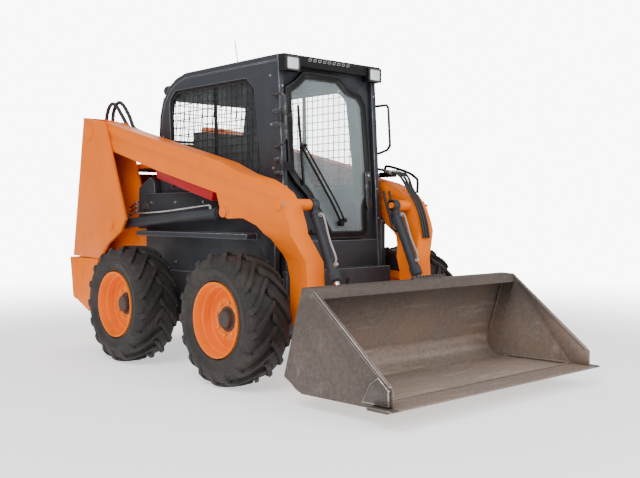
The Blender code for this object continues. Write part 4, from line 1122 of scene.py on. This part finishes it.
def make_pin_caps():
    """The pins' round plates on the outside of each arm, each with its keeper bolt."""
    for side_name, side in SIDES:
        bm = bmesh.new()
        for place, radius in ((LIFT_EYE, 0.034), (TILT_BASE, 0.032)):
            start = Vector((place.x, side * (ARM_OUTER - 0.006), place.z))
            rim = [(0, radius), (0.013, radius), (0.017, radius - 0.004)]
            hollow = [(0.017, radius * 0.45), (0.013, radius * 0.38), (0.013, 0.0004)]
            turned(bm, start, (0, side, 0), rim + hollow, 32)
        made(f"pin_caps_{side_name}", bm, "lift_arms", ORANGE, "orange_paint", angle=35)
        places = [(p.x + 0.052, side * (ARM_OUTER - 0.001), p.z) for p in (LIFT_EYE, TILT_BASE)]
        bolts(f"pin_keepers_{side_name}", places, side_name, 0.007, "lift_arms", ZINC, "orange_paint")


def make_upper_hoses():
    """The two hoses that loop from the tower's head down to the clamp beside the hood."""
    bm = bmesh.new()
    for shift, rise in ((0.0, 0.0), (0.085, 0.004)):
        y = UPPER_HOSE_Y + shift * 0.12
        run = [(-0.965, 1.795), (-0.950, 1.86), (-0.905, 1.918), (-0.845, 1.930), (-0.780, 1.893)]
        run.append((-0.70, 1.815))
        points = [(x + shift, y, z + rise * (1 if z > 1.85 else 0)) for x, z in run]
        points += [(-0.60 + shift * 0.6, y, 1.722), (-0.50 + shift, UPPER_HOSE_Y, 1.672)]
        hose(bm, points, 0.015, 12, 5)
    hoses = made("upper_hoses", bm, "chassis", HOSE, "hose_rubber")
    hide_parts("arm_hoses")
    bm = bmesh.new()
    y, z = UPPER_HOSE_Y - 0.003, 1.672
    for x in (-0.50, -0.415):
        rod(bm, (x - 0.020, y, z + 0.010), (x + 0.020, y, z - 0.006), 0.017, 6, 0.002)
    made("upper_hose_fittings", bm, "chassis", ZINC, "worn_steel", angle=25)


AUX_TOP = 1.345


def make_aux_lines():
    """The attachment couplers on the left knee: their block, couplings, hoses and bent guard bar."""
    bm = bmesh.new()
    block(bm, (1.165, 0.547, 1.306), (1.295, 0.598, AUX_TOP - 0.003))
    carrier = made("aux_block", bm, "lift_arms", BLACK, "black_paint", 0.004, BLACK_EDGE_WEAR_AND_HIGHLIGHT, 2)
    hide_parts("aux_lines")
    bm = bmesh.new()
    rise = [(1.19, 1.33), (1.196, 1.375), (1.23, 1.384), (1.40, 1.340)]
    fall = [(1.485, 1.297), (1.503, 1.27), (1.50, 1.19)]
    hose(bm, [(x, 0.585, z) for x, z in rise + fall], 0.010, 12, 5)
    made("aux_guard_bar", bm, "lift_arms", BLACK, "black_paint")
    bm = bmesh.new()
    metal = bmesh.new()
    for i, y in enumerate((0.512, 0.537, 0.562)):
        x0 = 1.275 + 0.012 * i
        fitting = [(0, 0.012), (0.022, 0.012), (0.024, 0.0145), (0.046, 0.0145), (0.048, 0.011)]
        turned(metal, (x0, y, AUX_TOP), (1, 0, -0.18), [*fitting, (0.062, 0.0105)], 16)
        run = [(x0 + 0.055, 1.336), (x0 + 0.13, 1.310), (1.475, 1.225), (1.555, 1.115), (1.602, 1.00)]
        hose(bm, [(x, y, z) for x, z in [*run, (1.628, 0.885)]], 0.0095, 10, 5)
        run = [(x0, AUX_TOP), (1.20, 1.362), (1.10, 1.372), (1.00, 1.350), (0.93, 1.31), (0.88, 1.27)]
        hose(bm, [(x, y - 0.012 * i, z) for x, z in run], 0.0085, 10, 5)
    made("aux_hoses", bm, "lift_arms", HOSE, "hose_rubber")
    made("aux_couplings", metal, "lift_arms", ZINC, "worn_steel", angle=30)


def make_tilt_hoses():
    """A pair of hoses that hang from each arm's inner face down to the tilt cylinder's ports."""
    for side_name, side in SIDES:
        bm = bmesh.new()
        for i in range(2):
            y = side * (0.452 - 0.022 * i)
            run = [(1.36 - 0.03 * i, 1.205), (1.385 - 0.03 * i, 1.13)]
            run += [(1.40, 1.03), (1.435, 0.965 - 0.02 * i)]
            run += [(1.50, 0.93), (1.545 + 0.01 * i, 0.955 - 0.03 * i)]
            hose(bm, [(x, y - side * 0.007 * k, z) for k, (x, z) in enumerate(run)], 0.0085, 10, 5)
        made(f"tilt_hoses_{side_name}", bm, "lift_arms", HOSE, "hose_rubber")


def make_control_boxes():
    """The dark box in front of each tower, with its boss, fittings and hoses."""
    for side_name, side in SIDES:
        bm = bmesh.new()
        outline = [(-0.39, 0.93), (-0.12, 0.93), (-0.155, 1.285), (-0.215, 1.325), (-0.375, 1.245)]
        side_plate(bm, rounded(outline, 0.018), side * 0.449, side * 0.492)
        made(f"control_box_{side_name}", bm, "chassis", SLATE, "slate_paint", 0.005, SLATE_EDGE_WEAR_AND_HIGHLIGHT)
        bm = bmesh.new()
        foot = [(0, 0.045), (0.016, 0.045), (0.020, 0.040), (0.020, 0.0004)]
        head = [(0, 0.022), (0.010, 0.022), (0.012, 0.018), (0.012, 0.0004)]
        turned(bm, (-0.265, side * 0.486, 1.09), (0, side, 0), foot, 32)
        turned(bm, (-0.265, side * 0.505, 1.09), (0, side, 0), head, 24)
        made(f"control_boss_{side_name}", bm, "chassis", CAST, "black_paint")
        bm = bmesh.new()
        for i in range(3):
            z = 1.075 + 0.032 * i
            fitting = [(0, 0.011), (0.03, 0.011), (0.032, 0.0145), (0.058, 0.0145), (0.060, 0.010)]
            turned(bm, (-0.385, side * 0.478, z), (-1, 0, -0.25), [*fitting, (0.10, 0.0095)], 12)
        made(f"control_fittings_{side_name}", bm, "chassis", ZINC, "worn_steel", angle=25)
        bm = bmesh.new()
        for i in range(3):
            z = 1.05 + 0.032 * i
            run = [(-0.475, z), (-0.53, z - 0.02), (-0.60, z - 0.01 + 0.03 * i)]
            run += [(-0.66, 1.17 + 0.05 * i), (-0.70, 1.30)]
            hose(bm, [(x, side * (0.478 - 0.004 * k), z) for k, (x, z) in enumerate(run)], 0.0095, 10, 5)
        made(f"control_hoses_{side_name}", bm, "chassis", HOSE, "hose_rubber")


make_cylinder_details("lift", "lift_barrels", LIFT_BASE, LIFT_EYE, LIFT_Y, LIFT_BARREL, LIFT_BORE)
make_cylinder_details("tilt", "tilt_barrels", TILT_BASE, TILT_EYE, TILT_Y, TILT_BARREL, TILT_BORE)
make_pin_caps()
make_upper_hoses()
make_aux_lines()
make_tilt_hoses()
make_control_boxes()

# --- bucket and coupler -----------------------------------------------------------------------------

LIP = (Vector((1.988, 0.645)), Vector((2.100, 0.600)))
BUCKET_WALL = 0.877  # inner face of a side plate
BUCKET_OUTER = 0.891  # its outer face
FLOOR_Z, FLOOR_RISE, FLOOR_HEEL = 0.082, 0.019, 1.987


def floor_z(x):
    return FLOOR_Z + FLOOR_RISE * (x - FLOOR_HEEL)


def weld(bm, points, radius):
    """A bead of weld along a line, with its ripples."""
    start, end = Vector(points[0]), Vector(points[1])
    count = int((end - start).length / 0.012)
    u = across((end - start).normalized())
    rings = []
    for i in range(count + 1):
        point = start.lerp(end, i / count)
        size = radius * (1.0 if i % 2 else 0.8)
        angles = [k * math.tau / 6 for k in range(6)]
        rings.append([point + (u[0] * math.cos(a) + u[1] * math.sin(a)) * size for a in angles])
    loft(bm, rings)


def make_bucket_details():
    bm = bmesh.new()
    for side in (-1, 1):
        y = side * (BUCKET_WALL - 0.001)
        weld(bm, [(2.06, y, 0.108), (2.52, y, 0.115)], 0.008)
        weld(bm, [(1.90, y, 0.27), (2.003, y, 0.60)], 0.008)
    weld(bm, [(2.525, -0.85, floor_z(2.525) + 0.023), (2.525, 0.85, floor_z(2.525) + 0.023)], 0.006)
    made("bucket_welds", bm, "bucket", STEEL, "worn_steel", angle=80)
    # side cutters: a thick plate along the front edge of each side
    bm = bmesh.new()
    for side in (-1, 1):
        cutter = [(2.46, 0.118), (2.645, 0.121), (2.645, 0.200), (2.575, 0.258), (2.515, 0.215)]
        side_plate(bm, cutter, side * (BUCKET_OUTER - 0.002), side * (BUCKET_OUTER + 0.016))
    made("side_cutters", bm, "bucket", EDGE_STEEL, "worn_steel", 0.004, STEEL_EDGE)
    # the folded strip that stiffens each side plate's sloping edge
    bm = bmesh.new()
    for side in (-1, 1):
        edge = [(2.088, 0.646), (2.100, 0.640), (2.640, 0.215), (2.630, 0.203), (2.075, 0.628)]
        side_plate(bm, edge, side * (BUCKET_WALL - 0.004), side * (BUCKET_OUTER + 0.004))
    made("side_edge_strips", bm, "bucket", STEEL, "worn_steel", 0.003, STEEL_EDGE)
    # the step on the lip, with its row of teeth
    low, high = LIP
    bm = bmesh.new()
    pad = [(low.x + 0.006, low.y + 0.010), (high.x - 0.018, high.y + 0.012), (high.x - 0.013, high.y + 0.030)]
    side_plate(bm, [*pad, (low.x + 0.012, low.y + 0.028)], -0.03, 0.27)
    made("lip_step", bm, "bucket", EDGE_STEEL, "worn_steel", 0.002, STEEL_EDGE)
    bm = bmesh.new()
    side_plate(bm, [(2.004, 0.666), (2.020, 0.662), (2.018, 0.676), (2.008, 0.677)], -0.008, 0.008)
    side_plate(bm, [(2.066, 0.638), (2.082, 0.630), (2.082, 0.644), (2.070, 0.650)], -0.008, 0.008)
    tooth = pattern("step_tooth", bm)
    feeds = {"Count": 10, "Start": at(0, -0.014, 0), "Step": (0, 0.030, 0)}
    repeated("lip_step_teeth", ROW, tooth, "bucket", "worn_steel", EDGE_STEEL, **feeds)
    # wear strips under the floor
    bm = bmesh.new()
    end_z = floor_z(2.50)
    for y in (-0.62, -0.21, 0.21, 0.62):
        strip = [(2.04, FLOOR_Z - 0.002), (2.50, end_z - 0.002)]
        strip += [(2.50, end_z + 0.004), (2.04, FLOOR_Z + 0.004)]
        side_plate(bm, strip, y - 0.045, y + 0.045)
    made("wear_strips", bm, "bucket", EDGE_STEEL, "worn_steel", 0.002, STEEL_EDGE, 1)


def make_coupler_details():
    """The quick coupler's pin heads and locking levers."""
    bm = bmesh.new()
    for side in (-1, 1):
        for y in (0.324, 0.403):
            rod(bm, (1.765, side * (y - 0.014), 0.50), (1.765, side * (y + 0.014), 0.50), 0.026, 20, 0.003)
        rod(bm, (1.67, side * 0.548, 0.26), (1.67, side * 0.592, 0.26), 0.034, 24, 0.004)
    made("coupler_pins", bm, "bucket", ZINC, "worn_steel", angle=35)
    bm = bmesh.new()
    for side in (-1, 1):
        y = side * 0.428
        rod(bm, (1.83, y, 0.30), (1.905, y, 0.555), 0.014, 16, 0.003)
        hose(bm, [(1.885, y, 0.50), (1.87, y, 0.56), (1.86, y, 0.62), (1.862, y, 0.68)], 0.011, 10, 4)
    made("coupler_levers", bm, "bucket", BLACK, "black_paint", angle=40)


# --- the machine's rear and frame -------------------------------------------------------------------

REAR_FOOT, REAR_HEAD = Vector((-1.115, 0.707)), Vector((-0.917, 1.807))


def rear_x(z):
    """The leaning line of the towers' rear edge at height z."""
    return REAR_FOOT.x + (REAR_HEAD.x - REAR_FOOT.x) * (z - REAR_FOOT.y) / (REAR_HEAD.y - REAR_FOOT.y)


def on_skin(node, start, way):
    """Where a line first meets a node's solid, drawn from the rear axle as the rest is."""
    mesh = frame["nodes"][node].data
    faces = [tuple(p.vertices) for p in mesh.polygons]
    skin = BVHTree.FromPolygons([v.co for v in mesh.vertices], faces)
    place = skin.ray_cast(at(*start), Vector(way))[0]
    return tuple(TO_FRAME.inverted() @ place)


LOUVRES, LOUVRE_STEP, LOUVRE_FOOT = 12, 0.034, 0.86


def make_rear():
    """The rear door's louvres, tail lamps, handle and bolts, and the bumper's bolts."""
    lean = math.atan2(REAR_HEAD.x - REAR_FOOT.x, REAR_HEAD.y - REAR_FOOT.y)
    low_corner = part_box("rear_door")[0]
    skin = low_corner.x - REAR_AXLE - rear_x(low_corner.z)
    bm = bmesh.new()
    louvre = [(0.010, -0.012), (-0.004, -0.008), (-0.006, -0.004), (0.010, 0.010)]
    place = Matrix.Rotation(-lean, 4, "Y")
    rings = [[place @ Vector((x, y, z)) for x, z in louvre] for y in (-0.30, 0.30)]
    loft(bm, rings)
    slat = pattern("rear_louvre", bm, 0.0015)
    start = at(rear_x(LOUVRE_FOOT) + skin, 0, LOUVRE_FOOT)
    way = Vector((math.sin(lean), 0, math.cos(lean))) * LOUVRE_STEP
    feeds = {"Count": LOUVRES, "Start": start, "Step": way}
    repeated("rear_louvres", ROW, slat, "rear_door", "black_paint", BLACK, **feeds)
    bm = bmesh.new()
    z0, z1 = 1.02, 1.12
    for y0, y1 in ((0.336, 0.430), (-0.430, -0.336)):
        corners = rounded([(y0, z0), (y1, z0), (y1, z1), (y0, z1)], 0.02)
        back, front = skin + 0.012, skin - 0.005
        plate(bm, corners, lambda y, z: (rear_x(z) + back, y, z), lambda y, z: (rear_x(z) + front, y, z))
    made("tail_lamps", bm, "rear_door", RED_LENS, "red_paint", 0.004, None, 2)
    bm = bmesh.new()
    grip = ((0.84, -0.01), (0.84, 0.012), (0.98, 0.012), (0.98, -0.01))
    hose(bm, [(rear_x(z) + skin - out, -0.355, z) for z, out in grip], 0.008, 10, 4)
    made("rear_door_handle", bm, "rear_door", BLACK, "black_paint")
    places = [(rear_x(z) + skin - 0.001, y, z) for y in (-0.40, 0.40) for z in (0.77, 1.30)]
    bolts("rear_door_bolts", places, "rear", 0.007, "rear_door", ZINC, "orange_paint")
    spots = [(y, z) for y in (-0.42, -0.14, 0.14, 0.42) for z in (0.46, 0.56)]
    places = [on_skin("rear_bumper", (-3, y, z), (1, 0, 0)) for y, z in spots]
    bolts("bumper_bolts", places, "rear", 0.010, "chassis", ZINC, "orange_paint")


def make_hood_vents():
    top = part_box("engine_hood")[1].z
    bm = bmesh.new()
    block(bm, (-0.010, -0.27, -0.003), (0.010, 0.27, 0.006))
    feeds = {"Count": 12, "Start": at(-0.86, 0, top), "Step": (0.045, 0, 0)}
    repeated("hood_vents", ROW, pattern("hood_vent", bm, 0.002), "engine_hood", "black_paint", BLACK, **feeds)


PANEL_FACE = 0.4995
PANEL_BOLT_ROWS = ((1.13, (-0.18, 0.15, 0.50)), (0.70, (-0.18, 0.15, 0.50, 0.85)))


def make_side_details():
    """Bolts on the side panels where the arms don't sweep, and the lamps at the cab's rear corners."""
    for side_name, side in SIDES:
        y = side * PANEL_FACE
        places = [(x, y, z) for z, row in PANEL_BOLT_ROWS for x in row]
        bolts(f"panel_bolts_{side_name}", places, side_name, 0.007, "chassis", ZINC, "slate_paint")
        bm = bmesh.new()
        centre = Vector((-0.175, side * 0.33, 1.975))
        shell = [(0.0, 0.012), (0.012, 0.034), (0.040, 0.043), (0.058, 0.044)]
        shell += [(0.062, 0.040), (0.062, 0.0004)]
        turned(bm, centre + Vector((0.028, 0, 0)), (-1, 0, 0), shell, 32)
        lamp = made(f"rear_lamp_shell_{side_name}", bm, "chassis", PLASTIC, "black_paint", angle=40)
        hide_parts(f"rear_lamp_{side_name}")
        bm = bmesh.new()
        glass = [(0, 0.037), (0.006, 0.036), (0.010, 0.028), (0.011, 0.0004)]
        turned(bm, centre + Vector((-0.0335, 0, 0)), (-1, 0, 0), glass, 28)
        made(f"rear_lamp_lens_{side_name}", bm, "chassis", LENS, "tinted_glass", angle=50)


make_bucket_details()
make_coupler_details()
make_rear()
make_hood_vents()
make_side_details()

# --- floor, light and camera ----------------------------------------------------------------------

FLOOR_SOLID, FLOOR_FADED = 2.5, 9.0  # the floor melts into the backdrop between these distances
SKY_LIGHT, SKY_SEEN = 0.75, 9.0  # how bright the backdrop is as a light, and as seen
FLOOR_GLOW = 0.8


def make_studio():
    floor = bpy.data.meshes.new("studio_floor")
    floor.from_pydata([(-60, -60, 0), (60, -60, 0), (60, 60, 0), (-60, 60, 0)], [], [(0, 1, 2, 3)])
    obj = bpy.data.objects.new("studio_floor", floor)
    bpy.context.scene.collection.objects.link(obj)
    pale = Finish("pale_floor")
    pale.colour(pale.mix(pale.noise(0.6, 3), (0.90, 0.90, 0.90), (0.93, 0.93, 0.93)))
    pale.rough(0.9)
    reach = pale.add("ShaderNodeVectorMath", {0: pale.where}, operation="LENGTH").outputs["Value"]
    pale.feed(pale.shader.inputs["Alpha"], pale.band(reach, FLOOR_SOLID, FLOOR_FADED, 1.0, 0.0))
    pale.shader.inputs["Emission Color"].default_value = (1, 1, 1, 1)
    pale.shader.inputs["Emission Strength"].default_value = FLOOR_GLOW
    floor.materials.append(pale.material)
    world = bpy.data.worlds.new("studio")
    world.use_nodes = True
    sky = world.node_tree
    sky.nodes["Background"].inputs["Color"].default_value = (1, 1, 1, 1)
    seen = sky.nodes.new("ShaderNodeLightPath").outputs["Is Camera Ray"]
    feeds = {0: seen, 3: SKY_LIGHT, 4: SKY_SEEN}
    strength = linked(sky, "ShaderNodeMapRange", feeds)
    sky.links.new(strength.outputs[0], sky.nodes["Background"].inputs["Strength"])
    bpy.context.scene.world = world


def lamp(name, place, aim, size, power):
    data = bpy.data.lights.new(name, "AREA")
    data.shape = "RECTANGLE"
    data.size, data.size_y = size
    data.energy = power
    obj = bpy.data.objects.new(name, data)
    bpy.context.scene.collection.objects.link(obj)
    obj.location = place
    obj.rotation_euler = (Vector(aim) - Vector(place)).to_track_quat("-Z", "Y").to_euler()


CAMERA_PLACE = (4.7621, -3.9459, 1.0678)
CAMERA_AZIMUTH = math.radians(47.958)
CAMERA_ELEVATION = math.radians(1.843)
CAMERA_LENS = 49.12


def make_camera():
    data = bpy.data.cameras.new("camera")
    data.lens = CAMERA_LENS
    data.sensor_width = 36
    data.clip_end = 200
    obj = bpy.data.objects.new("camera", data)
    bpy.context.scene.collection.objects.link(obj)
    obj.location = CAMERA_PLACE
    flat = math.cos(CAMERA_ELEVATION)
    ahead = (-math.sin(CAMERA_AZIMUTH) * flat, math.cos(CAMERA_AZIMUTH) * flat, -math.sin(CAMERA_ELEVATION))
    obj.rotation_euler = Vector(ahead).to_track_quat("-Z", "Y").to_euler()
    bpy.context.scene.camera = obj


make_studio()
lamp("key_light", (2.5, -5.5, 6.5), (0, 0, 0.8), (5, 4), 420)
lamp("front_light", (7.0, 1.5, 4.0), (0.5, 0, 0.8), (4, 4), 260)
lamp("back_light", (-6.0, 3.0, 5.0), (0, 0, 1.2), (5, 4), 220)
make_camera()
